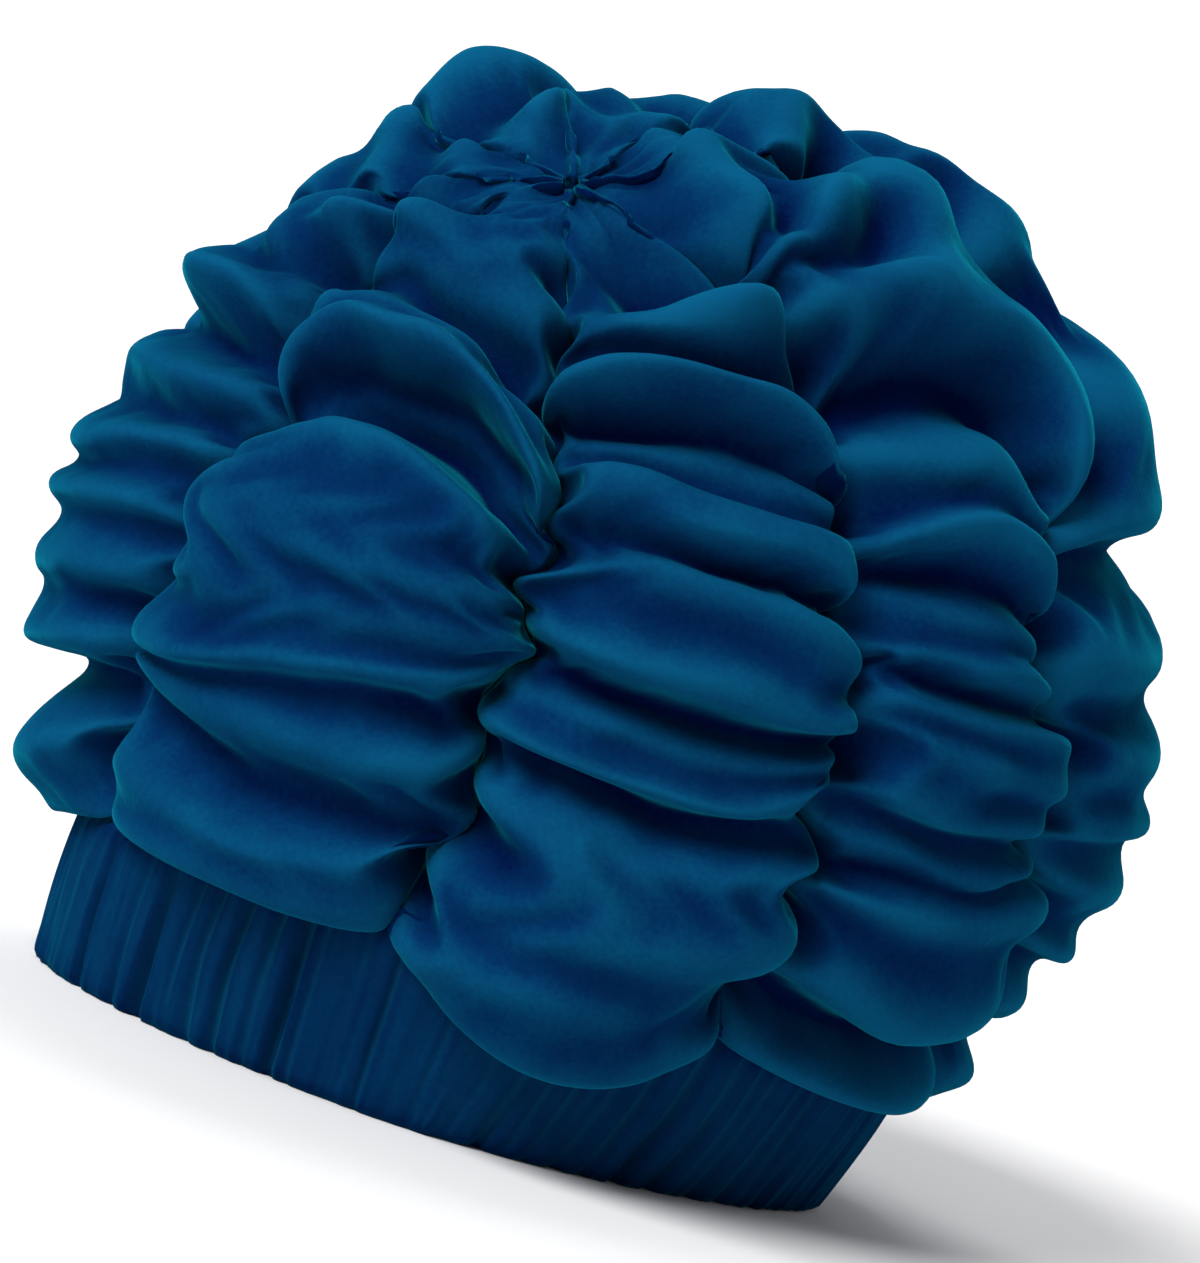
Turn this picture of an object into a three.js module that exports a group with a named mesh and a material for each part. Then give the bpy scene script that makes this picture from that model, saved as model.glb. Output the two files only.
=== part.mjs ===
// Ruched swim cap: eight gathered crown panels that meet in a small hole at the
// top, and a pleated stretch band below them. Millimetres, +Z up, the front of
// the wearer's head toward -X, and the side with the broadest fold toward -Y.
import * as THREE from 'three';

// ---- driving dimensions (mm unless a unit is named) ----
const WALL = 2.4;                 // cloth of a crown panel, gathered and lined
const WALL_AT_TOP = 1.3;          // the same cloth where it is pulled together
const GAP = 0.3;                  // least clear space between neighbouring pieces
const SEAM_GAP = 1.6;             // mean clear space along a seam, which wanders from fold to fold
const SEAM_STEP = 0.05;           // a seam runs straight over this much of the crown's height
const SHELL = { x: 112, y: 99, up: 112, down: 108, centre: 100 }; // half sizes of the crown at its mean fold height
const CROWN_START = -37;          // latitude of the crown's lower edge, degrees
const CROWN_REACH = 248;          // length of the crown from band to top, along the surface
const TOP_DIRECTION = [-0.31, -0.44, 0.84]; // where the panels gather, seen from the crown's centre
const SEAM_LEVEL = -10;           // depth of the seams below the mean fold height
const HEM_LEVEL = 3;              // where seams and folds run into the band, over the same height
const HEM_AT = 0.022;             // mean height of the crown's lower edge along the crown
const HEM_TILT = 0.016;           // the edge is this much higher at its highest side
const HEM_HIGH_SIDE = -130;       // azimuth of the highest side, degrees
const HEM_SHARE = 0.05;           // seams sink to their full depth over this much of the crown
const SHOULDER = 4;               // how square a panel is between its two seams
const ORIGIN = [0.83, 2.326, 0];  // bottom centre of the whole cap, taken off every point

// seams between the panels: azimuth in degrees at these heights (0 = band, 1 = top)
const SEAM_HEIGHTS = [0, 0.17, 0.33, 0.5, 0.56, 0.62, 0.75, 0.88, 1];
const SEAMS = {
  left_front: [-156, -152, -146, -144, -144, -145, -156, -166, -170],
  front: [-106, -101.5, -101, -99, -98, -96, -97, -92, -95],
  front_right: [-58, -59, -58, -56, -53.5, -51, -42, -40, -50],
  right: [-8, -18, -24, -21, -6, 12, 26, 18, 0],
  back_right: [32, 32, 28, 34, 42, 52, 64, 60, 48],
  back: [76, 76, 72, 76, 80, 86, 98, 100, 92],
  back_left: [118, 118, 120, 122, 124, 128, 136, 142, 137],
  left: [160, 162, 166, 168, 169, 170, 170, 170, 165],
};
// scallops: where a fold pushes its seam sideways (height, half length, shift in degrees)
const SCALLOPS = {
  left_front: [[0.66, 0.03, -1.4], [0.57, 0.03, 1.75], [0.44, 0.03, -1.4], [0.36, 0.03, 1.05], [0.26, 0.025, -1.4], [0.14, 0.03, 1.4]],
  front: [[0.74, 0.02, -2.1], [0.54, 0.025, 2.1], [0.48, 0.02, -2.1], [0.385, 0.03, 2.1], [0.29, 0.03, -1.75], [0.14, 0.025, 1.75], [0.085, 0.02, -1.4]],
  front_right: [[0.6, 0.02, 1.05], [0.42, 0.02, 0.84], [0.345, 0.02, 1.05], [0.275, 0.02, -1.75], [0.215, 0.02, 1.75], [0.18, 0.015, -1.4], [0.14, 0.02, 1.4]],
  right: [[0.44, 0.02, 1.4], [0.4, 0.02, -1.05], [0.33, 0.02, 1.4], [0.26, 0.02, -1.4], [0.2, 0.02, 1.4], [0.08, 0.02, -1.4]],
  back_right: [[0.6, 0.03, 1.4], [0.5, 0.03, -1.4], [0.36, 0.03, 1.4], [0.25, 0.03, -1.4], [0.14, 0.03, 1.4]],
  back: [[0.64, 0.03, 1.4], [0.53, 0.03, -1.4], [0.4, 0.03, 1.4], [0.3, 0.03, -1.4], [0.16, 0.03, 1.4]],
  back_left: [[0.64, 0.03, -1.4], [0.5, 0.03, 1.4], [0.37, 0.03, -1.4], [0.24, 0.03, 1.4], [0.13, 0.03, -1.4]],
  left: [[0.6, 0.03, 1.4], [0.48, 0.03, -1.4], [0.35, 0.03, 1.4], [0.22, 0.03, -1.4], [0.1, 0.03, 1.4]],
};
// lean: how far a seam's wall tips sideways, degrees of azimuth for each mm of height
const LEAN = { front: 0.13 };

// Folds of each panel, one row for each fold from the band to the top. Columns:
const FOLD_COLUMNS = ['kind', 'at_left', 'at_quarter', 'at_middle', 'at_three_quarters', 'at_right',
  'rise_left', 'rise_middle', 'rise_right'];
// "at" is the height along the crown (0 = band, 1 = top) at five places across
// the panel, "rise" is in mm from the mean fold height.
const FRONT_LEFT_FOLDS = [
  ['seam', 0.035, 0.033, 0.03, 0.028, 0.025, -9, -9, -9],
  ['edge', 0.034, 0.03, 0.024, 0.016, 0.016, 7, 8, 7],
  ['ridge', 0.062, 0.05, 0.042, 0.034, 0.036, 10, 13, 11],
  ['ridge', 0.115, 0.091, 0.087, 0.086, 0.107, 9, 12, 10],
  ['valley', 0.208, 0.159, 0.12, 0.12, 0.144, -6, -7, -3],
  ['ridge', 0.225, 0.219, 0.218, 0.209, 0.225, 4, 6, 5],
  ['valley', 0.231, 0.235, 0.258, 0.274, 0.263, 3, 0, -3],
  ['ridge', 0.261, 0.256, 0.299, 0.323, 0.343, 9, 12, 8],
  ['valley', 0.338, 0.288, 0.323, 0.343, 0.378, 5, 8, 8],
  ['ridge', 0.406, 0.432, 0.455, 0.44, 0.417, 12, 19, 13],
  ['ridge', 0.493, 0.574, 0.597, 0.557, 0.443, 10, 15, 10],
  ['valley', 0.51, 0.608, 0.63, 0.593, 0.492, -5, -9, -6],
  ['valley', 0.52, 0.661, 0.689, 0.665, 0.523, 0, -5, -3],
  ['ridge', 0.603, 0.722, 0.745, 0.737, 0.571, 12, 17, 11],
  ['ridge', 0.71, 0.755, 0.778, 0.762, 0.655, 8, 9, 3],
  ['valley', 0.755, 0.809, 0.8, 0.774, 0.713, 2, -6, -8],
  ['ridge', 0.829, 0.871, 0.884, 0.883, 0.84, 9, 12, 6],
  ['valley', 0.835, 0.923, 0.927, 0.924, 0.881, 3, 7, 2],
  ['ridge', 0.932, 0.929, 0.935, 0.941, 0.917, 2, 5, 0],
  ['gather', 0.975, 0.975, 0.975, 0.975, 0.975, -9.5, -9.5, -9.5],
];
const FRONT_FOLDS = [
  ['seam', 0.025, 0.022, 0.02, 0.02, 0.02, -9, -9, -9],
  ['edge', 0.018, -0.022, -0.04, -0.03, 0.012, 9, 13, 9],
  ['ridge', 0.042, 0, -0.016, -0.002, 0.034, 11, 17, 10],
  ['ridge', 0.06, 0.04, 0.038, 0.038, 0.045, 10, 18, 4],
  ['ridge', 0.118, 0.093, 0.115, 0.125, 0.13, 6, 17, 11],
  ['ridge', 0.197, 0.207, 0.192, 0.198, 0.208, 7, 12, 9],
  ['valley', 0.25, 0.252, 0.23, 0.236, 0.235, -5, -6, -3],
  ['ridge', 0.305, 0.284, 0.277, 0.274, 0.307, 8, 9, 8],
  ['valley', 0.327, 0.31, 0.293, 0.289, 0.315, 3, 1, 2],
  ['ridge', 0.338, 0.329, 0.312, 0.306, 0.325, 4, 4, 3],
  ['valley', 0.375, 0.353, 0.336, 0.33, 0.335, -6, -7, -4],
  ['ridge', 0.43, 0.409, 0.387, 0.367, 0.37, 8, 10, 9],
  ['valley', 0.456, 0.485, 0.465, 0.417, 0.388, -3, 4, 6],
  ['ridge', 0.486, 0.524, 0.517, 0.482, 0.42, 5, 7, 9],
  ['valley', 0.555, 0.55, 0.532, 0.509, 0.465, -6, -6, -5],
  ['ridge', 0.61, 0.603, 0.574, 0.547, 0.506, 9, 12, 10],
  ['ridge', 0.631, 0.628, 0.597, 0.569, 0.539, 9, 9, 9],
  ['valley', 0.664, 0.645, 0.612, 0.581, 0.559, -3, -3, -3],
  ['ridge', 0.684, 0.669, 0.646, 0.612, 0.57, -2, 1, 0],
  ['valley', 0.72, 0.703, 0.687, 0.65, 0.579, -6, -8, -6],
  ['ridge', 0.748, 0.758, 0.737, 0.687, 0.608, 10, 16, 11],
  ['valley', 0.8, 0.785, 0.757, 0.716, 0.682, -3, 4, -6],
  ['ridge', 0.825, 0.809, 0.783, 0.78, 0.774, 5, 14, 12],
  ['valley', 0.885, 0.891, 0.887, 0.858, 0.78, -5, -6, -3],
  ['gather', 0.975, 0.975, 0.975, 0.975, 0.975, -9.5, -9.5, -9.5],
];
const RIGHT_FOLDS = [
  ['seam', 0.018, 0.014, 0.012, 0.008, 0.006, -9, -9, -9],
  ['edge', 0.014, 0.006, 0.002, 0, 0.002, 7, 9, 8],
  ['ridge', 0.03, 0.022, 0.018, 0.018, 0.03, 9, 13, 11],
  ['valley', 0.065, 0.05, 0.043, 0.057, 0.08, -5, -6, -4],
  ['ridge', 0.125, 0.113, 0.103, 0.111, 0.12, 7, 12, 9],
  ['valley', 0.178, 0.165, 0.166, 0.171, 0.173, 2, 6, 5],
  ['ridge', 0.193, 0.196, 0.197, 0.207, 0.217, 7, 11, 9],
  ['valley', 0.21, 0.212, 0.215, 0.226, 0.238, -5, 0, -4],
  ['ridge', 0.238, 0.237, 0.226, 0.236, 0.25, 3, 5, 4],
  ['valley', 0.272, 0.265, 0.257, 0.256, 0.26, -4, -3, -5],
  ['ridge', 0.308, 0.287, 0.278, 0.282, 0.278, 6, 7, 5],
  ['valley', 0.327, 0.314, 0.304, 0.298, 0.293, 3, 2, 1],
  ['ridge', 0.359, 0.339, 0.327, 0.314, 0.308, 7, 9, 8],
  ['valley', 0.369, 0.36, 0.345, 0.33, 0.325, 2, 3, 4],
  ['ridge', 0.389, 0.373, 0.363, 0.353, 0.338, 6, 8, 8],
  ['valley', 0.414, 0.399, 0.389, 0.373, 0.355, -4, -5, -1],
  ['ridge', 0.44, 0.432, 0.419, 0.409, 0.389, 5, 9, 9],
  ['valley', 0.465, 0.451, 0.436, 0.421, 0.395, -5, 1, 1],
  ['ridge', 0.487, 0.483, 0.457, 0.433, 0.409, -6, 4, 3],
  ['valley', 0.515, 0.505, 0.488, 0.463, 0.426, -8, -7, -3],
  ['ridge', 0.555, 0.552, 0.531, 0.497, 0.449, 7, 13, 10],
  ['valley', 0.585, 0.575, 0.549, 0.514, 0.478, -4, 2, -4],
  ['ridge', 0.643, 0.6, 0.572, 0.524, 0.508, 3, 6, 2],
  ['valley', 0.688, 0.678, 0.629, 0.552, 0.514, -8, -10, -8],
  ['ridge', 0.763, 0.751, 0.677, 0.576, 0.52, 8, 16, 13],
  ['valley', 0.802, 0.793, 0.75, 0.675, 0.605, 2, 10, 8],
  ['ridge', 0.818, 0.818, 0.815, 0.761, 0.768, 11, 15, 12],
  ['valley', 0.824, 0.835, 0.842, 0.838, 0.803, 4, 8, 7],
  ['ridge', 0.83, 0.855, 0.874, 0.888, 0.901, 10, 14, 12],
  ['valley', 0.883, 0.91, 0.921, 0.92, 0.927, 6, 8, 5],
  ['ridge', 0.951, 0.962, 0.962, 0.962, 0.962, 2, 4, 0],
  ['gather', 0.975, 0.975, 0.975, 0.975, 0.975, -9.5, -9.5, -9.5],
];
const LEFT_FOLDS = [
  ['seam', 0.03, 0.03, 0.03, 0.032, 0.035, -9, -9, -9],
  ['edge', 0.012, 0.014, 0.02, 0.03, 0.036, 8, 12, 8],
  ['ridge', 0.06, 0.07, 0.085, 0.095, 0.1, 10, 16, 11],
  ['valley', 0.135, 0.14, 0.15, 0.16, 0.165, -5, -3, -6],
  ['ridge', 0.18, 0.185, 0.198, 0.215, 0.23, 9, 12, 9],
  ['valley', 0.225, 0.235, 0.248, 0.262, 0.272, 5, 8, -1],
  ['ridge', 0.25, 0.258, 0.268, 0.29, 0.305, 8, 10, 7],
  ['valley', 0.295, 0.305, 0.32, 0.345, 0.37, 5, 9, 1],
  ['ridge', 0.33, 0.34, 0.352, 0.38, 0.41, 9, 13, 9],
  ['valley', 0.36, 0.368, 0.38, 0.415, 0.45, 6, 10, 1],
  ['ridge', 0.385, 0.392, 0.402, 0.45, 0.495, 8, 12, 8],
  ['valley', 0.43, 0.44, 0.465, 0.5, 0.53, -2, 1, -2],
  ['ridge', 0.49, 0.5, 0.525, 0.56, 0.59, 8, 12, 9],
  ['valley', 0.565, 0.575, 0.595, 0.62, 0.638, -5, -4, -6],
  ['ridge', 0.585, 0.59, 0.607, 0.632, 0.652, 4, 7, 6],
  ['valley', 0.6, 0.605, 0.618, 0.645, 0.668, -2, 2, -2],
  ['ridge', 0.615, 0.622, 0.632, 0.665, 0.692, 6, 9, 7],
  ['valley', 0.63, 0.637, 0.645, 0.685, 0.72, 0, 4, -2],
  ['ridge', 0.645, 0.65, 0.66, 0.7, 0.738, 6, 9, 7],
  ['valley', 0.67, 0.675, 0.69, 0.73, 0.765, -3, 1, -5],
  ['ridge', 0.74, 0.75, 0.765, 0.8, 0.82, 10, 16, 10],
  ['valley', 0.81, 0.82, 0.835, 0.86, 0.875, -1, 3, -4],
  ['ridge', 0.87, 0.875, 0.885, 0.905, 0.915, 4, 8, 5],
  ['ridge', 0.93, 0.93, 0.935, 0.94, 0.94, -2, 2, -2],
  ['gather', 0.975, 0.975, 0.975, 0.975, 0.975, -9.5, -9.5, -9.5],
];
const BACK_RIGHT_FOLDS = [
  ['seam', 0.006, 0.004, 0.004, 0.006, 0.008, -9, -9, -9],
  ['edge', 0.006, 0, -0.004, 0, 0.004, 8, 11, 8],
  ['ridge', 0.055, 0.05, 0.045, 0.045, 0.05, 9, 14, 9],
  ['valley', 0.088, 0.082, 0.08, 0.085, 0.09, 0, 3, 0],
  ['ridge', 0.118, 0.115, 0.11, 0.108, 0.112, 7, 10, 7],
  ['valley', 0.155, 0.153, 0.15, 0.148, 0.15, -1, 3, -1],
  ['ridge', 0.176, 0.172, 0.168, 0.166, 0.17, 8, 12, 8],
  ['valley', 0.196, 0.19, 0.188, 0.19, 0.196, 4, 8, 3],
  ['ridge', 0.23, 0.224, 0.218, 0.22, 0.228, 9, 14, 9],
  ['valley', 0.262, 0.257, 0.252, 0.25, 0.255, 3, 9, 3],
  ['ridge', 0.28, 0.273, 0.268, 0.27, 0.28, 9, 14, 9],
  ['valley', 0.304, 0.3, 0.296, 0.3, 0.31, 5, 9, 4],
  ['ridge', 0.33, 0.324, 0.32, 0.326, 0.34, 7, 11, 7],
  ['valley', 0.372, 0.366, 0.362, 0.37, 0.38, 2, 6, 3],
  ['ridge', 0.406, 0.398, 0.392, 0.4, 0.415, 7, 11, 8],
  ['valley', 0.48, 0.468, 0.458, 0.46, 0.47, -6, -4, -5],
  ['ridge', 0.508, 0.498, 0.49, 0.495, 0.51, 9, 15, 10],
  ['ridge', 0.56, 0.553, 0.55, 0.56, 0.57, 10, 17, 12],
  ['valley', 0.6, 0.595, 0.592, 0.6, 0.62, 8, 14, 9],
  ['ridge', 0.66, 0.655, 0.65, 0.66, 0.68, 11, 16, 12],
  ['valley', 0.75, 0.745, 0.74, 0.745, 0.75, 4, 9, 5],
  ['ridge', 0.82, 0.82, 0.825, 0.82, 0.82, 8, 13, 8],
  ['ridge', 0.9, 0.9, 0.905, 0.9, 0.9, 2, 6, 2],
  ['gather', 0.975, 0.975, 0.975, 0.975, 0.975, -9.5, -9.5, -9.5],
];
const BACK_FOLDS = [
  ['seam', 0.006, 0.004, 0.002, 0.002, 0.004, -9, -9, -9],
  ['edge', 0, -0.004, -0.01, -0.006, 0, 8, 11, 8],
  ['ridge', 0.045, 0.04, 0.035, 0.04, 0.05, 10, 15, 10],
  ['valley', 0.1, 0.095, 0.085, 0.09, 0.1, -4, -2, -3],
  ['ridge', 0.14, 0.135, 0.13, 0.14, 0.15, 8, 12, 9],
  ['valley', 0.185, 0.18, 0.17, 0.175, 0.19, -3, 0, -5],
  ['ridge', 0.215, 0.205, 0.2, 0.21, 0.225, 8, 11, 9],
  ['valley', 0.25, 0.245, 0.24, 0.25, 0.26, 0, 4, -2],
  ['ridge', 0.285, 0.28, 0.27, 0.275, 0.29, 8, 12, 8],
  ['valley', 0.325, 0.33, 0.32, 0.315, 0.33, -5, -3, -4],
  ['ridge', 0.365, 0.37, 0.365, 0.36, 0.37, 9, 14, 10],
  ['valley', 0.415, 0.41, 0.405, 0.4, 0.41, -3, 1, -4],
  ['ridge', 0.445, 0.44, 0.44, 0.445, 0.45, 7, 11, 8],
  ['valley', 0.485, 0.48, 0.475, 0.485, 0.495, -2, 0, -5],
  ['ridge', 0.53, 0.535, 0.53, 0.525, 0.53, 9, 14, 9],
  ['valley', 0.585, 0.59, 0.59, 0.58, 0.58, -5, -3, -4],
  ['ridge', 0.63, 0.64, 0.645, 0.635, 0.625, 9, 13, 9],
  ['valley', 0.69, 0.69, 0.69, 0.685, 0.68, -2, 2, -4],
  ['ridge', 0.74, 0.75, 0.755, 0.745, 0.735, 9, 15, 10],
  ['valley', 0.81, 0.82, 0.825, 0.82, 0.81, 0, 5, 0],
  ['ridge', 0.87, 0.88, 0.885, 0.88, 0.87, 4, 8, 4],
  ['ridge', 0.925, 0.93, 0.935, 0.93, 0.925, -2, 2, -2],
  ['gather', 0.975, 0.975, 0.975, 0.975, 0.975, -9.5, -9.5, -9.5],
];
const BACK_LEFT_FOLDS = [
  ['seam', 0.004, 0.006, 0.01, 0.016, 0.02, -9, -9, -9],
  ['edge', 0, -0.002, 0.002, 0.008, 0.012, 8, 11, 8],
  ['ridge', 0.042, 0.036, 0.04, 0.046, 0.056, 10, 14, 10],
  ['valley', 0.08, 0.088, 0.1, 0.104, 0.112, -3, -2, -4],
  ['ridge', 0.112, 0.122, 0.14, 0.15, 0.16, 8, 12, 10],
  ['valley', 0.16, 0.168, 0.175, 0.185, 0.19, 0, 4, -3],
  ['ridge', 0.2, 0.204, 0.208, 0.216, 0.225, 8, 13, 9],
  ['valley', 0.255, 0.262, 0.262, 0.258, 0.262, -5, -3, -4],
  ['ridge', 0.3, 0.31, 0.312, 0.3, 0.298, 9, 13, 9],
  ['valley', 0.345, 0.352, 0.352, 0.346, 0.34, -2, 4, -2],
  ['ridge', 0.375, 0.38, 0.385, 0.38, 0.372, 7, 10, 8],
  ['valley', 0.42, 0.425, 0.43, 0.43, 0.425, -5, -3, -4],
  ['ridge', 0.468, 0.475, 0.482, 0.48, 0.472, 9, 14, 10],
  ['valley', 0.535, 0.545, 0.55, 0.545, 0.53, -4, 0, -5],
  ['ridge', 0.575, 0.585, 0.59, 0.585, 0.575, 8, 12, 8],
  ['valley', 0.625, 0.632, 0.64, 0.635, 0.625, -4, -2, -4],
  ['ridge', 0.7, 0.712, 0.722, 0.715, 0.7, 11, 19, 12],
  ['ridge', 0.78, 0.795, 0.805, 0.795, 0.78, 11, 20, 13],
  ['valley', 0.845, 0.855, 0.865, 0.855, 0.85, -2, 3, -3],
  ['ridge', 0.9, 0.905, 0.91, 0.905, 0.9, 3, 7, 4],
  ['gather', 0.975, 0.975, 0.975, 0.975, 0.975, -9.5, -9.5, -9.5],
];
const ACROSS = [0, 0.25, 0.5, 0.75, 1];   // places of the "at" columns
const RISES = [0, 0.5, 1];                // places of the "rise" columns
const AT = FOLD_COLUMNS.indexOf('at_left');
const RISE = FOLD_COLUMNS.indexOf('rise_left');

// the panels, clockwise from the front left; a mirrored panel reads its columns from right to left
const PANELS = [
  { name: 'crown_panel_1', left: 'left_front', right: 'front', folds: FRONT_LEFT_FOLDS, colour: 0x063a72 },
  { name: 'crown_panel_2', left: 'front', right: 'front_right', folds: FRONT_FOLDS, colour: 0x073d76 },
  { name: 'crown_panel_3', left: 'front_right', right: 'right', folds: RIGHT_FOLDS, colour: 0x063a72 },
  { name: 'crown_panel_4', left: 'right', right: 'back_right', folds: BACK_RIGHT_FOLDS, colour: 0x073d76 },
  { name: 'crown_panel_5', left: 'back_right', right: 'back', folds: BACK_FOLDS, colour: 0x063a72 },
  { name: 'crown_panel_6', left: 'back', right: 'back_left', folds: mirrored(BACK_LEFT_FOLDS), colour: 0x073d76 },
  { name: 'crown_panel_7', left: 'back_left', right: 'left', folds: BACK_LEFT_FOLDS, colour: 0x063a72 },
  { name: 'crown_panel_8', left: 'left', right: 'left_front', folds: LEFT_FOLDS, colour: 0x073d76 },
];
const COLUMNS_ACROSS = [0, 0.05, 0.17, 0.38, 0.62, 0.83, 0.95, 1]; // mesh columns across a panel
const LONGEST_STEP = 0.045;       // a wider fold gets a mesh row in between

// the band: one row for each level between its lower edge (0) and the crown's edge (1)
const BAND_COLUMNS = ['level', 'bulge', 'pleat_depth', 'thickness'];
const BAND = [
  [0.00, -0.6, 0.8, 2.6],
  [0.08, 0.2, 1.2, 2.8],
  [0.55, 0.6, 1.3, 2.8],
  [1.00, -2.2, 0.6, 2.0],
];
const BAND_EDGE = { half_x: 88, half_y: 73, centre_x: -8, squareness: 1.66 }; // outline of the lower edge
const BAND_BELOW_CROWN = 3.1;     // top of the band under the crown's edge
const BAND_PLEATS = 72;           // gathers of the stretch band round its edge

// ---- helpers ----
const rad = (deg) => deg * Math.PI / 180;
const clamp = (v, a, b) => Math.min(b, Math.max(a, v));
function mirrored(folds) {
  return folds.map((r) => [r[0], ...r.slice(1, 6).reverse(), ...r.slice(6, 9).reverse()]);
}
// smooth curve through a row of values at the given places
function through(places, values, at) {
  const n = places.length, x = clamp(at, places[0], places[n - 1]);
  let i = 0;
  while (i < n - 2 && x > places[i + 1]) i += 1;
  const slope = (k) => {
    if (k === 0) return (values[1] - values[0]) / (places[1] - places[0]);
    if (k === n - 1) return (values[n - 1] - values[n - 2]) / (places[n - 1] - places[n - 2]);
    const a = places[k] - places[k - 1], b = places[k + 1] - places[k];
    return ((values[k] - values[k - 1]) / a * b + (values[k + 1] - values[k]) / b * a) / (a + b);
  };
  const h = places[i + 1] - places[i], s = (x - places[i]) / h;
  return (2 * s ** 3 - 3 * s ** 2 + 1) * values[i] + (s ** 3 - 2 * s ** 2 + s) * h * slope(i)
    + (3 * s ** 2 - 2 * s ** 3) * values[i + 1] + (s ** 3 - s ** 2) * h * slope(i + 1);
}
const top = new THREE.Vector3(...TOP_DIRECTION).normalize();
const topAngle = Math.acos(top.z);
const topAxis = new THREE.Vector3(0, 0, 1).cross(top).normalize();

// a point of the crown: height along it, azimuth in degrees, rise over the mean fold height
function crownPoint(t, azimuth, rise) {
  const along = Math.max(t, 0);
  const lat = rad(CROWN_START + (90 - CROWN_START) * along);
  const turn = clamp(along, 0, 1) ** 2 * (3 - 2 * clamp(along, 0, 1));
  const d = new THREE.Vector3(Math.cos(lat) * Math.cos(rad(azimuth)), Math.cos(lat) * Math.sin(rad(azimuth)), Math.sin(lat));
  d.applyAxisAngle(topAxis, topAngle * turn);
  const z = (d.z > 0 ? SHELL.up : SHELL.down) + rise;
  const r = 1 / Math.sqrt((d.x / (SHELL.x + rise)) ** 2 + (d.y / (SHELL.y + rise)) ** 2 + (d.z / z) ** 2);
  const drop = t < 0 ? -t * CROWN_REACH * clamp((rise - 3) / 5, 0, 1) : 0;
  return d.multiplyScalar(r).add(new THREE.Vector3(0, 0, SHELL.centre - drop));
}
function seamAzimuth(name, t) {
  const bend = (x) => {
    let a = through(SEAM_HEIGHTS, SEAMS[name], x);
    for (const [at, half, shift] of SCALLOPS[name]) a += shift * Math.exp(-(((x - at) / half) ** 2));
    return a;
  };
  const i = Math.floor(Math.max(t, 0) / SEAM_STEP), x = Math.max(t, 0) / SEAM_STEP - i;
  return bend(i * SEAM_STEP) * (1 - x) + bend((i + 1) * SEAM_STEP) * x;
}
// the crown's lower edge, and the depth of the seams near it
const hemAt = (azimuth) => HEM_AT + HEM_TILT * Math.cos(rad(azimuth - HEM_HIGH_SIDE));
function seamLevel(t) {
  const x = clamp((t - HEM_AT) / HEM_SHARE, 0, 1);
  return HEM_LEVEL + (SEAM_LEVEL - HEM_LEVEL) * x * x * (3 - 2 * x);
}
// profile across a panel, 0 at the seams and 1 in the middle
function arch(u) {
  return Math.sqrt(Math.max(0, 1 - Math.abs(2 * u - 1) ** SHOULDER));
}
// between two rows of the table: valleys are narrow, ridges are round
function blend(kindA, kindB, x) {
  const ridge = (k) => k !== 'valley' && k !== 'seam' && k !== 'gather';
  const smooth = x * x * (3 - 2 * x);
  if (ridge(kindA) === ridge(kindB)) return smooth;
  const round = ridge(kindB) ? Math.sin(x * Math.PI / 2) : 1 - Math.sin((1 - x) * Math.PI / 2);
  return 0.6 * round + 0.4 * smooth;
}
function foldRow(row) {
  return {
    kind: row[0],
    at: (u) => through(ACROSS, row.slice(AT, AT + 5), u),
    rise: (u) => through(RISES, row.slice(RISE, RISE + 3), u),
  };
}
// closed body from two grids of points with the same rows and columns
function doubleWall(outer, inner, closed) {
  const rows = outer.length, cols = outer[0].length, pos = [], idx = [];
  for (const grid of [outer, inner]) for (const row of grid) for (const p of row) pos.push(p.x, p.y, p.z);
  const id = (side, i, j) => side * rows * cols + i * cols + (closed ? j % cols : j);
  const quad = (a, b, c, d) => idx.push(a, b, c, a, c, d);
  const last = closed ? cols : cols - 1;
  for (let i = 0; i < rows - 1; i += 1) {
    for (let j = 0; j < last; j += 1) {
      quad(id(0, i, j), id(0, i, j + 1), id(0, i + 1, j + 1), id(0, i + 1, j));
      quad(id(1, i, j), id(1, i + 1, j), id(1, i + 1, j + 1), id(1, i, j + 1));
    }
    if (!closed) {
      quad(id(0, i, 0), id(0, i + 1, 0), id(1, i + 1, 0), id(1, i, 0));
      quad(id(0, i, cols - 1), id(1, i, cols - 1), id(1, i + 1, cols - 1), id(0, i + 1, cols - 1));
    }
  }
  for (let j = 0; j < last; j += 1) {
    quad(id(0, 0, j), id(1, 0, j), id(1, 0, j + 1), id(0, 0, j + 1));
    quad(id(0, rows - 1, j), id(0, rows - 1, j + 1), id(1, rows - 1, j + 1), id(1, rows - 1, j));
  }
  const g = new THREE.BufferGeometry();
  g.setAttribute('position', new THREE.Float32BufferAttribute(pos, 3));
  g.setIndex(idx);
  g.computeVertexNormals();
  return g;
}

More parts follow.
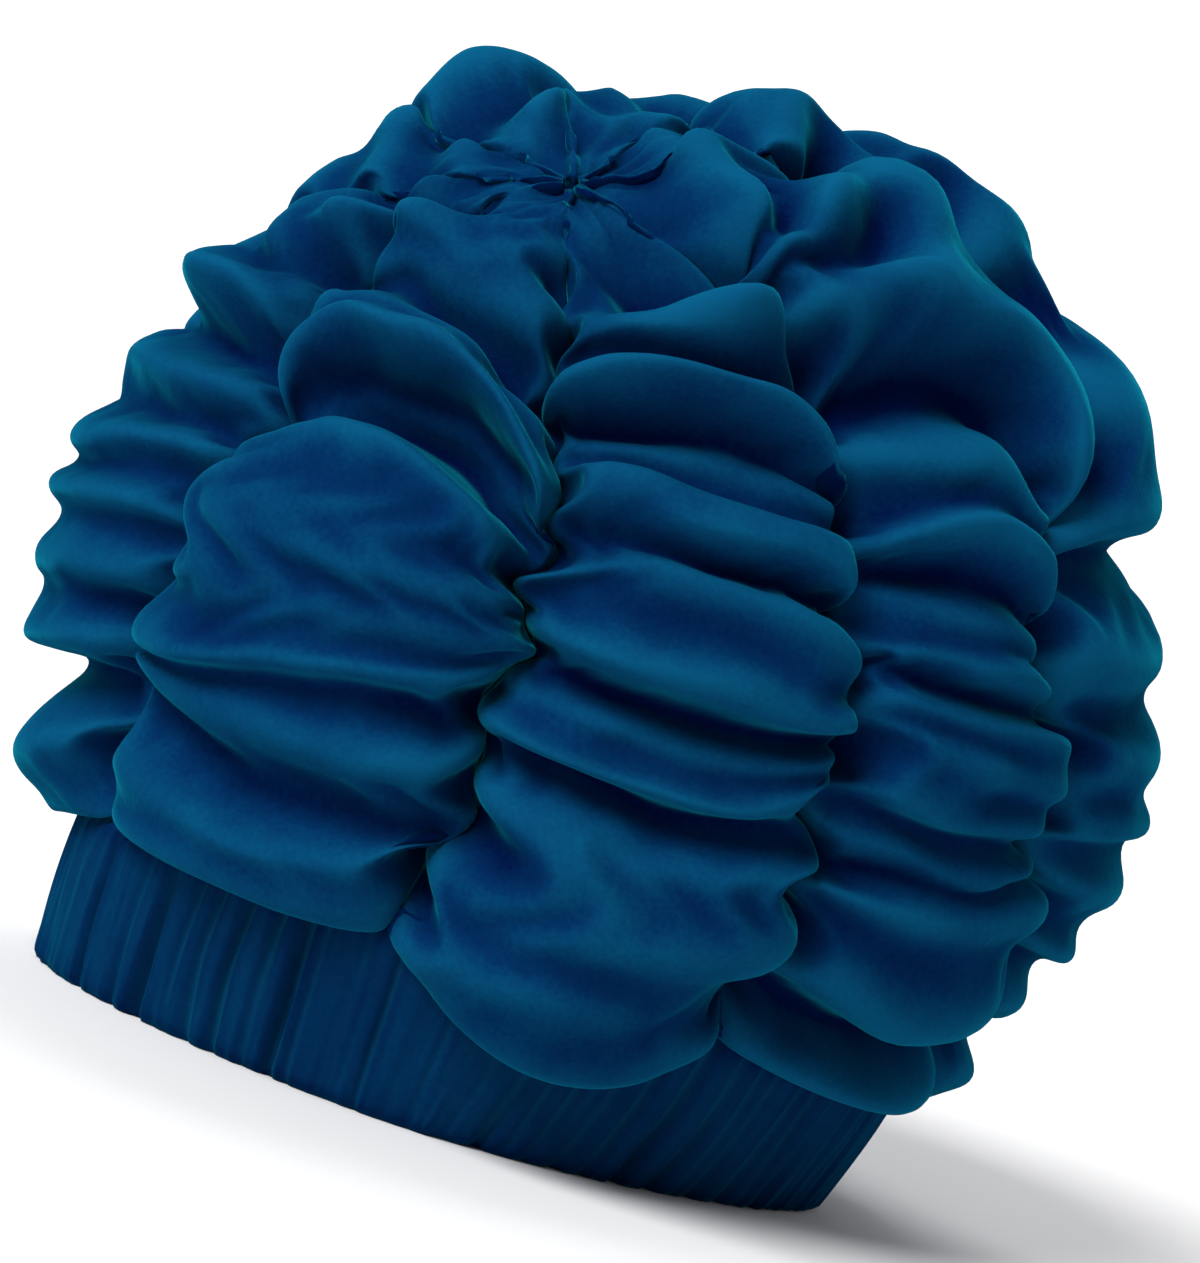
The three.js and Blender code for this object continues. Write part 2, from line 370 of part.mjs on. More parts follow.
// ---- one crown panel ----
function panelGrids(panel) {
  const rows = panel.folds.map(foldRow), outer = [], inner = [];
  const place = (u, t, rise) => {
    // width of the panel at seam level, to turn millimetres into azimuth
    const left = seamAzimuth(panel.left, t), right0 = seamAzimuth(panel.right, t);
    const right = right0 < left - 1e-9 ? right0 + 360 : right0;
    const w = crownPoint(t, left, SEAM_LEVEL).distanceTo(crownPoint(t, left + 2, SEAM_LEVEL)) / 2; // mm per degree
    const side = Math.max(GAP, SEAM_GAP) / 2 / w;
    const lean = (LEAN[panel.left] || 0) * (1 - u) ** 2 + (LEAN[panel.right] || 0) * u ** 2;
    const azimuth = left + side + (right - left - 2 * side) * u + lean * Math.max(0, rise - seamLevel(t)) * clamp((0.9 - t) * 5, 0, 1);
    return { point: crownPoint(t, azimuth, rise), width: (right - left) * w };
  };
  const addRow = (at, rise) => {
    const a = [], b = [];
    for (const u of COLUMNS_ACROSS) {
      const t = at(u), height = rise(u), k = arch(u), low = seamLevel(t);
      a.push(place(u, t, low + (height - low) * k).point);
      const wall = WALL + (WALL_AT_TOP - WALL) * clamp((t - 0.85) / 0.12, 0, 1);
      const inset = Math.min(0.25, wall / place(u, t, 0).width);
      b.push(place(u + (0.5 - u) * 2 * inset, t, low + (height - wall - low) * k).point);
    }
    outer.push(a);
    inner.push(b);
  };
  // the first row is sewn to the band
  const hem = (u) => {
    const left = seamAzimuth(panel.left, HEM_AT), right = seamAzimuth(panel.right, HEM_AT);
    return hemAt(left + ((right < left ? right + 360 : right) - left) * u);
  };
  rows[0] = { kind: 'seam', at: hem, rise: () => HEM_LEVEL };
  rows.forEach((row, i) => {
    addRow(row.at, row.rise);
    const next = rows[i + 1];
    if (!next) return;
    const widest = Math.max(...ACROSS.map((u) => Math.abs(next.at(u) - row.at(u))));
    const steps = Math.max(1, Math.round(widest / LONGEST_STEP));
    for (let s = 1; s < steps; s += 1) {
      const x = s / steps, f = blend(row.kind, next.kind, x);
      addRow((u) => row.at(u) + (next.at(u) - row.at(u)) * x, (u) => row.rise(u) + (next.rise(u) - row.rise(u)) * f);
    }
  });
  return [outer, inner];
}

// ---- the band ----
function bandGrids() {
  const value = (name, row) => row[BAND_COLUMNS.indexOf(name)];
  const edge = (a) => {
    const p = 2 / BAND_EDGE.squareness, c = Math.cos(a), s = Math.sin(a);
    return new THREE.Vector3(BAND_EDGE.centre_x + BAND_EDGE.half_x * Math.sign(c) * Math.abs(c) ** p,
      BAND_EDGE.half_y * Math.sign(s) * Math.abs(s) ** p, 0);
  };
  const crownEdge = (a) => {
    const azimuth = a * 180 / Math.PI;
    return crownPoint(hemAt(azimuth), azimuth, HEM_LEVEL).sub(new THREE.Vector3(0, 0, BAND_BELOW_CROWN));
  };
  const point = (a, level) => edge(a).lerp(crownEdge(a), level);
  // even spacing along the outline at mid level
  const FINE = 1440, lengths = [0];
  for (let i = 1; i <= FINE; i += 1) {
    lengths.push(lengths[i - 1] + point(2 * Math.PI * i / FINE, 0.5).distanceTo(point(2 * Math.PI * (i - 1) / FINE, 0.5)));
  }
  const angleAt = (share) => {
    const want = share * lengths[FINE];
    let i = 1;
    while (i < FINE && lengths[i] < want) i += 1;
    return 2 * Math.PI * (i - 1 + (want - lengths[i - 1]) / (lengths[i] - lengths[i - 1])) / FINE;
  };
  const columns = 2 * BAND_PLEATS, outer = [], inner = [];
  for (const row of BAND) {
    const a = [], b = [];
    for (let j = 0; j < columns; j += 1) {
      const angle = angleAt(j / columns), level = value('level', row), p = point(angle, level);
      const along = point(angle + 0.03, level).sub(point(angle - 0.03, level));
      const out = new THREE.Vector3(along.y, -along.x, 0).normalize();
      const fold = j % 2 ? value('pleat_depth', row) : 0;
      a.push(p.clone().addScaledVector(out, value('bulge', row) - fold));
      b.push(p.clone().addScaledVector(out, value('bulge', row) - value('thickness', row)));
    }
    outer.push(a);
    inner.push(b);
  }
  return [outer, inner];
}

function cloth(colour) {
  return new THREE.MeshStandardMaterial({ color: colour, roughness: 0.85, metalness: 0 });
}

const cap = new THREE.Group();
cap.name = 'swim_cap';
for (const panel of PANELS) {
  const [outer, inner] = panelGrids(panel);
  const mesh = new THREE.Mesh(doubleWall(outer, inner, false), cloth(panel.colour));
  mesh.name = panel.name;
  cap.add(mesh);
}
{
  const [outer, inner] = bandGrids();
  const mesh = new THREE.Mesh(doubleWall(outer, inner, true), cloth(0x05305f));
  mesh.name = 'stretch_band';
  cap.add(mesh);
}
for (const mesh of cap.children) mesh.geometry.translate(-ORIGIN[0], -ORIGIN[1], -ORIGIN[2]);

export default cap;
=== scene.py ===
"""Looks of a ruched swim cap: eight gathered crown panels and a pleated stretch band.

All lengths in the tables are millimetres unless a unit is named; the scene is in metres.
The cap stands on its band; its side with the broadest fold faces the camera.
"""

import math

import bpy
import numpy as np
from mathutils import Matrix, Vector


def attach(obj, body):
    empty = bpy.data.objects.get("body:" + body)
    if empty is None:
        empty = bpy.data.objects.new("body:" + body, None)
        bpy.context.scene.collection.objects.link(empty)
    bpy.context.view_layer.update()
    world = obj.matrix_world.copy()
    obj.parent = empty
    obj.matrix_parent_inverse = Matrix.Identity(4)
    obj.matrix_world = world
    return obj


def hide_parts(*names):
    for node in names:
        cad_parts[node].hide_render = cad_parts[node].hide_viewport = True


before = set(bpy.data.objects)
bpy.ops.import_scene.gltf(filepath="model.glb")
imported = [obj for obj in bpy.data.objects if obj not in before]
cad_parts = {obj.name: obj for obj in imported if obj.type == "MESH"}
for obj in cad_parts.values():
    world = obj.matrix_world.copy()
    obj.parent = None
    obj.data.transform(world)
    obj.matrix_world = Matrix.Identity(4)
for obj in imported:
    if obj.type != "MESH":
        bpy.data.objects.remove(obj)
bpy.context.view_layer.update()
MM = 0.001

# ---- the crown's form, the same as the solid model's ----
SHELL = {"x": 112.0, "y": 99.0, "up": 112.0, "down": 108.0, "centre": 100.0}
CROWN_START = -37.0      # latitude of the crown's lower edge, degrees
CROWN_REACH = 248.0      # length of the crown from band to top
TOP_DIRECTION = (-0.31, -0.44, 0.84)
SEAM_LEVEL = -10.0
HEM_LEVEL = 3.0
HEM_AT = 0.022
HEM_TILT = 0.016
HEM_HIGH_SIDE = -130.0
HEM_SHARE = 0.05
SHOULDER = 4.0
ORIGIN = (0.83, 2.326, 0.0)

SEAM_HEIGHTS = [0, 0.17, 0.33, 0.5, 0.56, 0.62, 0.75, 0.88, 1]
SEAMS = {
    "left_front": [-156, -152, -146, -144, -144, -145, -156, -166, -170],
    "front": [-106, -101.5, -101, -99, -98, -96, -97, -92, -95],
    "front_right": [-58, -59, -58, -56, -53.5, -51, -42, -40, -50],
    "right": [-8, -18, -24, -21, -6, 12, 26, 18, 0],
    "back_right": [32, 32, 28, 34, 42, 52, 64, 60, 48],
    "back": [76, 76, 72, 76, 80, 86, 98, 100, 92],
    "back_left": [118, 118, 120, 122, 124, 128, 136, 142, 137],
    "left": [160, 162, 166, 168, 169, 170, 170, 170, 165],
}
# where a fold pushes its seam sideways: height, half length, shift in degrees
SCALLOPS = {
    "left_front": [(0.66, 0.03, -1.6), (0.57, 0.03, 2), (0.44, 0.03, -1.6), (0.36, 0.03, 1.3), (0.26, 0.025, -1.6), (0.14, 0.03, 1.6)],
    "front": [(0.74, 0.02, -2.4), (0.54, 0.025, 2.6), (0.48, 0.02, -2.6), (0.385, 0.03, 2.6), (0.29, 0.03, -2), (0.14, 0.025, 2), (0.085, 0.02, -1.6)],
    "front_right": [(0.6, 0.02, 1.2), (0.42, 0.02, 1.1), (0.345, 0.02, 1.3), (0.275, 0.02, -2), (0.215, 0.02, 2), (0.18, 0.015, -1.6), (0.14, 0.02, 1.6)],
    "right": [(0.44, 0.02, 1.6), (0.4, 0.02, -1.3), (0.33, 0.02, 1.6), (0.26, 0.02, -1.6), (0.2, 0.02, 1.6), (0.08, 0.02, -1.6)],
    "back_right": [(0.6, 0.03, 1.6), (0.5, 0.03, -1.6), (0.36, 0.03, 1.6), (0.25, 0.03, -1.6), (0.14, 0.03, 1.6)],
    "back": [(0.64, 0.03, 1.6), (0.53, 0.03, -1.6), (0.4, 0.03, 1.6), (0.3, 0.03, -1.6), (0.16, 0.03, 1.6)],
    "back_left": [(0.64, 0.03, -1.6), (0.5, 0.03, 1.6), (0.37, 0.03, -1.6), (0.24, 0.03, 1.6), (0.13, 0.03, -1.6)],
    "left": [(0.6, 0.03, 1.6), (0.48, 0.03, -1.6), (0.35, 0.03, 1.6), (0.22, 0.03, -1.6), (0.1, 0.03, 1.6)],
}
# how far a seam's wall tips sideways, degrees of azimuth for each mm of height
LEAN = {"left_front": -0.09, "front": 0.15, "front_right": 0.24, "right": 0.12}

# folds, one row each from the band to the top: kind, height along the crown at
# five places across the panel, then the rise at its left, middle and right
FRONT_LEFT_FOLDS = [
    ('seam', 0.035, 0.033, 0.03, 0.028, 0.025, -9, -9, -9),
    ('edge', 0.034, 0.03, 0.024, 0.016, 0.016, 7, 8, 7),
    ('ridge', 0.062, 0.05, 0.042, 0.034, 0.036, 10, 13, 11),
    ('ridge', 0.115, 0.091, 0.087, 0.086, 0.107, 9, 12, 10),
    ('valley', 0.208, 0.159, 0.12, 0.12, 0.144, -1, 0, -2),
    ('ridge', 0.225, 0.219, 0.218, 0.209, 0.225, 6, 8, 6),
    ('valley', 0.231, 0.235, 0.258, 0.274, 0.263, 5, 5, -1),
    ('ridge', 0.261, 0.256, 0.299, 0.323, 0.343, 9, 11, 8),
    ('valley', 0.338, 0.288, 0.323, 0.343, 0.378, 8, 10, 6),
    ('ridge', 0.406, 0.432, 0.455, 0.44, 0.417, 12, 17, 12),
    ('ridge', 0.493, 0.574, 0.597, 0.557, 0.443, 10, 15, 10),
    ('valley', 0.51, 0.608, 0.63, 0.593, 0.492, -5, -9, -6),
    ('valley', 0.52, 0.661, 0.689, 0.665, 0.523, 0, -5, -3),
    ('ridge', 0.603, 0.722, 0.745, 0.737, 0.571, 12, 17, 11),
    ('ridge', 0.71, 0.755, 0.778, 0.762, 0.655, 8, 9, 3),
    ('valley', 0.755, 0.809, 0.8, 0.774, 0.713, 2, -6, -8),
    ('ridge', 0.829, 0.871, 0.884, 0.883, 0.84, 9, 12, 6),
    ('valley', 0.835, 0.923, 0.927, 0.924, 0.881, 3, 7, 2),
    ('ridge', 0.932, 0.929, 0.935, 0.941, 0.917, 2, 5, 0),
    ('gather', 0.992, 0.992, 0.992, 0.992, 0.992, -3, -3, -3),
]
FRONT_FOLDS = [
    ('seam', 0.025, 0.022, 0.02, 0.02, 0.02, -9, -9, -9),
    ('edge', 0.018, -0.022, -0.04, -0.03, 0.012, 9, 13, 9),
    ('ridge', 0.042, 0, -0.016, -0.002, 0.034, 11, 17, 10),
    ('ridge', 0.06, 0.04, 0.038, 0.038, 0.045, 10, 18, 4),
    ('ridge', 0.118, 0.093, 0.115, 0.125, 0.13, 6, 17, 11),
    ('ridge', 0.197, 0.207, 0.192, 0.198, 0.208, 7, 12, 9),
    ('valley', 0.25, 0.252, 0.23, 0.236, 0.235, -5, -6, -3),
    ('ridge', 0.305, 0.284, 0.277, 0.274, 0.307, 8, 9, 8),
    ('valley', 0.327, 0.31, 0.293, 0.289, 0.315, 3, 1, 2),
    ('ridge', 0.338, 0.329, 0.312, 0.306, 0.325, 4, 4, 3),
    ('valley', 0.375, 0.353, 0.336, 0.33, 0.335, -6, -7, -4),
    ('ridge', 0.43, 0.409, 0.387, 0.367, 0.37, 8, 10, 9),
    ('valley', 0.456, 0.485, 0.465, 0.417, 0.388, -3, 4, 6),
    ('ridge', 0.486, 0.524, 0.517, 0.482, 0.42, 5, 7, 9),
    ('valley', 0.555, 0.55, 0.532, 0.509, 0.465, -6, -6, -5),
    ('ridge', 0.61, 0.603, 0.574, 0.547, 0.506, 9, 12, 10),
    ('ridge', 0.631, 0.628, 0.597, 0.569, 0.539, 9, 9, 9),
    ('valley', 0.664, 0.645, 0.612, 0.581, 0.559, -3, -3, -3),
    ('ridge', 0.684, 0.669, 0.646, 0.612, 0.57, -2, 1, 0),
    ('valley', 0.72, 0.703, 0.687, 0.65, 0.579, -6, -8, -6),
    ('ridge', 0.748, 0.758, 0.737, 0.687, 0.608, 10, 16, 11),
    ('valley', 0.8, 0.785, 0.757, 0.716, 0.682, -3, 4, -6),
    ('ridge', 0.825, 0.809, 0.783, 0.78, 0.774, 5, 14, 12),
    ('valley', 0.885, 0.891, 0.887, 0.858, 0.78, -5, -6, -3),
    ('gather', 0.992, 0.992, 0.992, 0.992, 0.992, -3, -3, -3),
]
RIGHT_FOLDS = [
    ('seam', 0.018, 0.014, 0.012, 0.008, 0.006, -9, -9, -9),
    ('edge', 0.014, 0.006, 0.002, 0, 0.002, 7, 9, 8),
    ('ridge', 0.03, 0.022, 0.018, 0.018, 0.03, 9, 13, 11),
    ('valley', 0.065, 0.05, 0.043, 0.057, 0.08, -5, -6, -4),
    ('ridge', 0.125, 0.113, 0.103, 0.111, 0.12, 7, 12, 9),
    ('valley', 0.178, 0.165, 0.166, 0.171, 0.173, 2, 6, 5),
    ('ridge', 0.193, 0.196, 0.197, 0.207, 0.217, 7, 11, 9),
    ('valley', 0.21, 0.212, 0.215, 0.226, 0.238, -5, 0, -4),
    ('ridge', 0.238, 0.237, 0.226, 0.236, 0.25, 3, 5, 4),
    ('valley', 0.272, 0.265, 0.257, 0.256, 0.26, -4, -3, -5),
    ('ridge', 0.308, 0.287, 0.278, 0.282, 0.278, 6, 7, 5),
    ('valley', 0.327, 0.314, 0.304, 0.298, 0.293, 3, 2, 1),
    ('ridge', 0.359, 0.339, 0.327, 0.314, 0.308, 7, 9, 8),
    ('valley', 0.369, 0.36, 0.345, 0.33, 0.325, 2, 3, 4),
    ('ridge', 0.389, 0.373, 0.363, 0.353, 0.338, 6, 8, 8),
    ('valley', 0.414, 0.399, 0.389, 0.373, 0.355, -4, -5, -1),
    ('ridge', 0.44, 0.432, 0.419, 0.409, 0.389, 5, 9, 9),
    ('valley', 0.465, 0.451, 0.436, 0.421, 0.395, -5, 1, 1),
    ('ridge', 0.487, 0.483, 0.457, 0.433, 0.409, -6, 4, 3),
    ('valley', 0.515, 0.505, 0.488, 0.463, 0.426, -8, -7, -3),
    ('ridge', 0.555, 0.552, 0.531, 0.497, 0.449, 7, 13, 10),
    ('valley', 0.585, 0.575, 0.549, 0.514, 0.478, -4, 2, -4),
    ('ridge', 0.643, 0.6, 0.572, 0.524, 0.508, 3, 6, 2),
    ('valley', 0.688, 0.678, 0.629, 0.552, 0.514, -8, -10, -8),
    ('ridge', 0.763, 0.751, 0.677, 0.576, 0.52, 8, 16, 13),
    ('valley', 0.802, 0.793, 0.75, 0.675, 0.605, 2, 10, 8),
    ('ridge', 0.818, 0.818, 0.815, 0.761, 0.768, 11, 15, 12),
    ('valley', 0.824, 0.835, 0.842, 0.838, 0.803, 4, 8, 7),
    ('ridge', 0.83, 0.855, 0.874, 0.888, 0.901, 10, 14, 12),
    ('valley', 0.883, 0.91, 0.921, 0.92, 0.927, 6, 8, 5),
    ('ridge', 0.951, 0.962, 0.962, 0.962, 0.962, 2, 4, 0),
    ('gather', 0.992, 0.992, 0.992, 0.992, 0.992, -3, -3, -3),
]
LEFT_FOLDS = [
    ('seam', 0.03, 0.03, 0.03, 0.032, 0.035, -9, -9, -9),
    ('edge', 0.012, 0.014, 0.02, 0.03, 0.036, 8, 12, 8),
    ('ridge', 0.06, 0.07, 0.085, 0.095, 0.1, 10, 16, 11),
    ('valley', 0.135, 0.14, 0.15, 0.16, 0.165, -5, -3, -6),
    ('ridge', 0.18, 0.185, 0.198, 0.215, 0.23, 9, 12, 9),
    ('valley', 0.225, 0.235, 0.248, 0.262, 0.272, 5, 8, -1),
    ('ridge', 0.25, 0.258, 0.268, 0.29, 0.305, 8, 10, 7),
    ('valley', 0.295, 0.305, 0.32, 0.345, 0.37, 5, 7, 1),
    ('ridge', 0.33, 0.34, 0.352, 0.38, 0.41, 9, 12, 9),
    ('valley', 0.36, 0.368, 0.38, 0.415, 0.45, 6, 8, 1),
    ('ridge', 0.385, 0.392, 0.402, 0.45, 0.495, 8, 12, 8),
    ('valley', 0.43, 0.44, 0.465, 0.5, 0.53, 3, 5, -2),
    ('ridge', 0.49, 0.5, 0.525, 0.56, 0.59, 6, 8, 8),
    ('valley', 0.545, 0.56, 0.585, 0.61, 0.628, 0, 1, -5),
    ('ridge', 0.61, 0.625, 0.645, 0.675, 0.70, 9, 14, 9),
    ('valley', 0.67, 0.685, 0.70, 0.735, 0.765, 3, 4, -4),
    ('ridge', 0.74, 0.75, 0.765, 0.8, 0.82, 10, 9, 5),
    ('valley', 0.81, 0.82, 0.835, 0.86, 0.875, 6, 4, -2),
    ('ridge', 0.87, 0.875, 0.885, 0.905, 0.915, 6, 5, 3),
    ('gather', 0.992, 0.992, 0.992, 0.992, 0.992, -3, -3, -3),
]
BACK_RIGHT_FOLDS = [
    ('seam', 0.006, 0.004, 0.004, 0.006, 0.008, -9, -9, -9),
    ('edge', 0.006, 0, -0.004, 0, 0.004, 8, 11, 8),
    ('ridge', 0.055, 0.05, 0.045, 0.045, 0.05, 9, 14, 9),
    ('valley', 0.088, 0.082, 0.08, 0.085, 0.09, 0, 3, 0),
    ('ridge', 0.118, 0.115, 0.11, 0.108, 0.112, 7, 10, 7),
    ('valley', 0.155, 0.153, 0.15, 0.148, 0.15, -1, 3, -1),
    ('ridge', 0.176, 0.172, 0.168, 0.166, 0.17, 8, 12, 8),
    ('valley', 0.196, 0.19, 0.188, 0.19, 0.196, 4, 8, 3),
    ('ridge', 0.23, 0.224, 0.218, 0.22, 0.228, 9, 14, 9),
    ('valley', 0.262, 0.257, 0.252, 0.25, 0.255, 3, 9, 3),
    ('ridge', 0.28, 0.273, 0.268, 0.27, 0.28, 9, 14, 9),
    ('valley', 0.304, 0.3, 0.296, 0.3, 0.31, 5, 9, 4),
    ('ridge', 0.33, 0.324, 0.32, 0.326, 0.34, 7, 11, 7),
    ('valley', 0.372, 0.366, 0.362, 0.37, 0.38, 2, 6, 3),
    ('ridge', 0.406, 0.398, 0.392, 0.4, 0.415, 7, 11, 8),
    ('valley', 0.48, 0.468, 0.458, 0.46, 0.47, -6, -4, -5),
    ('ridge', 0.508, 0.498, 0.49, 0.495, 0.51, 9, 15, 10),
    ('ridge', 0.56, 0.553, 0.55, 0.56, 0.57, 10, 17, 12),
    ('valley', 0.6, 0.595, 0.592, 0.6, 0.62, 8, 14, 9),
    ('ridge', 0.66, 0.655, 0.65, 0.66, 0.68, 11, 21, 12),
    ('valley', 0.75, 0.745, 0.74, 0.745, 0.75, 6, 13, 6),
    ('ridge', 0.82, 0.82, 0.825, 0.82, 0.82, 9, 17, 8),
    ('ridge', 0.9, 0.9, 0.905, 0.9, 0.9, 2, 6, 2),
    ('gather', 0.992, 0.992, 0.992, 0.992, 0.992, -3, -3, -3),
]
BACK_FOLDS = [
    ('seam', 0.006, 0.004, 0.002, 0.002, 0.004, -9, -9, -9),
    ('edge', 0, -0.004, -0.01, -0.006, 0, 8, 11, 8),
    ('ridge', 0.045, 0.04, 0.035, 0.04, 0.05, 10, 15, 10),
    ('valley', 0.1, 0.095, 0.085, 0.09, 0.1, -4, -2, -3),
    ('ridge', 0.14, 0.135, 0.13, 0.14, 0.15, 8, 12, 9),
    ('valley', 0.185, 0.18, 0.17, 0.175, 0.19, -3, 0, -5),
    ('ridge', 0.215, 0.205, 0.2, 0.21, 0.225, 8, 11, 9),
    ('valley', 0.25, 0.245, 0.24, 0.25, 0.26, 0, 4, -2),
    ('ridge', 0.285, 0.28, 0.27, 0.275, 0.29, 8, 12, 8),
    ('valley', 0.325, 0.33, 0.32, 0.315, 0.33, -5, -3, -4),
    ('ridge', 0.365, 0.37, 0.365, 0.36, 0.37, 9, 14, 10),
    ('valley', 0.415, 0.41, 0.405, 0.4, 0.41, -3, 1, -4),
    ('ridge', 0.445, 0.44, 0.44, 0.445, 0.45, 7, 11, 8),
    ('valley', 0.485, 0.48, 0.475, 0.485, 0.495, -2, 0, -5),
    ('ridge', 0.53, 0.535, 0.53, 0.525, 0.53, 9, 14, 9),
    ('valley', 0.585, 0.59, 0.59, 0.58, 0.58, -5, -3, -4),
    ('ridge', 0.63, 0.64, 0.645, 0.635, 0.625, 9, 13, 9),
    ('valley', 0.69, 0.69, 0.69, 0.685, 0.68, -2, 2, -4),
    ('ridge', 0.74, 0.75, 0.755, 0.745, 0.735, 8, 10, 9),
    ('valley', 0.81, 0.82, 0.825, 0.82, 0.81, 0, 5, 0),
    ('ridge', 0.87, 0.88, 0.885, 0.88, 0.87, 3, 6, 3),
    ('ridge', 0.925, 0.93, 0.935, 0.93, 0.925, -2, 2, -2),
    ('gather', 0.992, 0.992, 0.992, 0.992, 0.992, -3, -3, -3),
]
BACK_LEFT_FOLDS = [
    ('seam', 0.004, 0.006, 0.01, 0.016, 0.02, -9, -9, -9),
    ('edge', 0, -0.002, 0.002, 0.008, 0.012, 8, 11, 8),
    ('ridge', 0.042, 0.036, 0.04, 0.046, 0.056, 10, 14, 10),
    ('valley', 0.08, 0.088, 0.1, 0.104, 0.112, -3, -2, -4),
    ('ridge', 0.112, 0.122, 0.14, 0.15, 0.16, 8, 12, 10),
    ('valley', 0.16, 0.168, 0.175, 0.185, 0.19, 0, 4, -3),
    ('ridge', 0.2, 0.204, 0.208, 0.216, 0.225, 8, 13, 9),
    ('valley', 0.255, 0.262, 0.262, 0.258, 0.262, -5, -3, -4),
    ('ridge', 0.3, 0.31, 0.312, 0.3, 0.298, 9, 13, 9),
    ('valley', 0.345, 0.352, 0.352, 0.346, 0.34, -2, 4, -2),
    ('ridge', 0.375, 0.38, 0.385, 0.38, 0.372, 7, 10, 8),
    ('valley', 0.42, 0.425, 0.43, 0.43, 0.425, -5, -3, -4),
    ('ridge', 0.468, 0.475, 0.482, 0.48, 0.472, 9, 14, 10),
    ('valley', 0.535, 0.545, 0.55, 0.545, 0.53, -4, 0, -5),
    ('ridge', 0.575, 0.585, 0.59, 0.585, 0.575, 8, 12, 8),
    ('valley', 0.625, 0.632, 0.64, 0.635, 0.625, -4, -2, -4),
    ('ridge', 0.7, 0.712, 0.722, 0.715, 0.7, 9, 7, 6),
    ('ridge', 0.78, 0.795, 0.805, 0.795, 0.78, 13, 8, 6),
    ('valley', 0.845, 0.855, 0.865, 0.855, 0.85, 6, 4, 0),
    ('ridge', 0.9, 0.905, 0.91, 0.905, 0.9, 6, 6, 4),
    ('gather', 0.992, 0.992, 0.992, 0.992, 0.992, -3, -3, -3),
]
BACK_TOP_FOLDS = [
    ('seam', 0.02, 0.016, 0.01, 0.006, 0.004, -9, -9, -9),
    ('edge', 0.012, 0.008, 0.002, -0.002, 0, 8, 11, 8),
    ('ridge', 0.056, 0.046, 0.04, 0.036, 0.042, 10, 14, 10),
    ('valley', 0.112, 0.104, 0.1, 0.088, 0.08, -4, -2, -3),
    ('ridge', 0.16, 0.15, 0.14, 0.122, 0.112, 10, 12, 8),
    ('valley', 0.19, 0.185, 0.175, 0.168, 0.16, -3, 4, 0),
    ('ridge', 0.225, 0.216, 0.208, 0.204, 0.2, 9, 13, 8),
    ('valley', 0.262, 0.258, 0.262, 0.262, 0.255, -4, -3, -5),
    ('ridge', 0.298, 0.3, 0.312, 0.31, 0.3, 9, 13, 9),
    ('valley', 0.34, 0.346, 0.352, 0.352, 0.345, -2, 4, -2),
    ('ridge', 0.372, 0.38, 0.385, 0.38, 0.375, 8, 10, 7),
    ('valley', 0.425, 0.43, 0.43, 0.425, 0.42, -4, -3, -5),
    ('ridge', 0.472, 0.48, 0.482, 0.475, 0.468, 10, 14, 9),
    ('valley', 0.53, 0.545, 0.55, 0.545, 0.535, -5, 0, -4),
    ('ridge', 0.575, 0.585, 0.59, 0.585, 0.575, 8, 12, 8),
    ('valley', 0.625, 0.635, 0.64, 0.632, 0.625, -4, -2, -4),
    ('ridge', 0.7, 0.715, 0.722, 0.712, 0.7, 12, 19, 11),
    ('ridge', 0.78, 0.795, 0.805, 0.795, 0.78, 13, 20, 11),
    ('valley', 0.85, 0.855, 0.865, 0.855, 0.845, 4, 9, 6),
    ('ridge', 0.9, 0.905, 0.91, 0.905, 0.9, 4, 7, 3),
    ('gather', 0.992, 0.992, 0.992, 0.992, 0.992, -3, -3, -3),
]
# crests that cross the folds: height along the crown and azimuth of five points,
# then the crest's rise and half its width
CRESTS = [
    ("from_gather_to_curl", (0.905, 36), (0.89, 0), (0.848, -20), (0.80, -31), (0.757, -30), 10.0, 6.0),
    ("curl", (0.757, -30), (0.765, -34), (0.775, -45), (0.79, -60), (0.80, -78), 7.0, 5.0),
    ("right_inner", (0.85, 34), (0.852, 22), (0.850, 8), (0.841, -14), (0.812, -32), 6.0, 4.5),
    ("right_outer", (0.74, 32), (0.765, 20), (0.79, 8), (0.808, -9), (0.815, -24), 7.0, 5.5),
    ("right_low", (0.742, 20), (0.743, 10), (0.735, 0), (0.724, -11), (0.71, -22), 7.0, 5.5),
    ("right_branch", (0.765, -24), (0.734, -18), (0.71, -18), (0.687, -17), (0.646, -7), 7.0, 5.0),
    ("top_piece", (0.94, 132), (0.90, 112), (0.86, 100), (0.82, 94), (0.76, 92), 6.0, 5.0),
    ("left_ledge", (0.785, -172), (0.80, -168), (0.829, -165), (0.86, -158), (0.89, -150), 8.0, 4.5),
    ("left_arc", (0.66, 178), (0.70, -175), (0.716, -166), (0.724, -154), (0.70, -147), 4.0, 5.0),
    ("left_hook", (0.604, -171), (0.64, -168), (0.67, -163), (0.685, -156), (0.662, -151), 3.0, 4.0),
]
# hollows beside them, in the same columns
HOLLOWS = [
    ("under_top_piece", (0.82, 175), (0.84, -178), (0.87, -172), (0.90, -168), (0.93, -165), 6.0, 5.5),
    ("beside_gather", (0.93, -60), (0.90, -62), (0.87, -64), (0.84, -66), (0.81, -70), 7.0, 6.0),
    ("right_hollow", (0.87, 40), (0.868, 20), (0.862, 0), (0.83, -22), (0.79, -38), 6.0, 5.0),
    ("right_hollow_low", (0.77, 30), (0.785, 20), (0.775, 0), (0.765, -12), (0.745, -22), 5.0, 4.5),
]
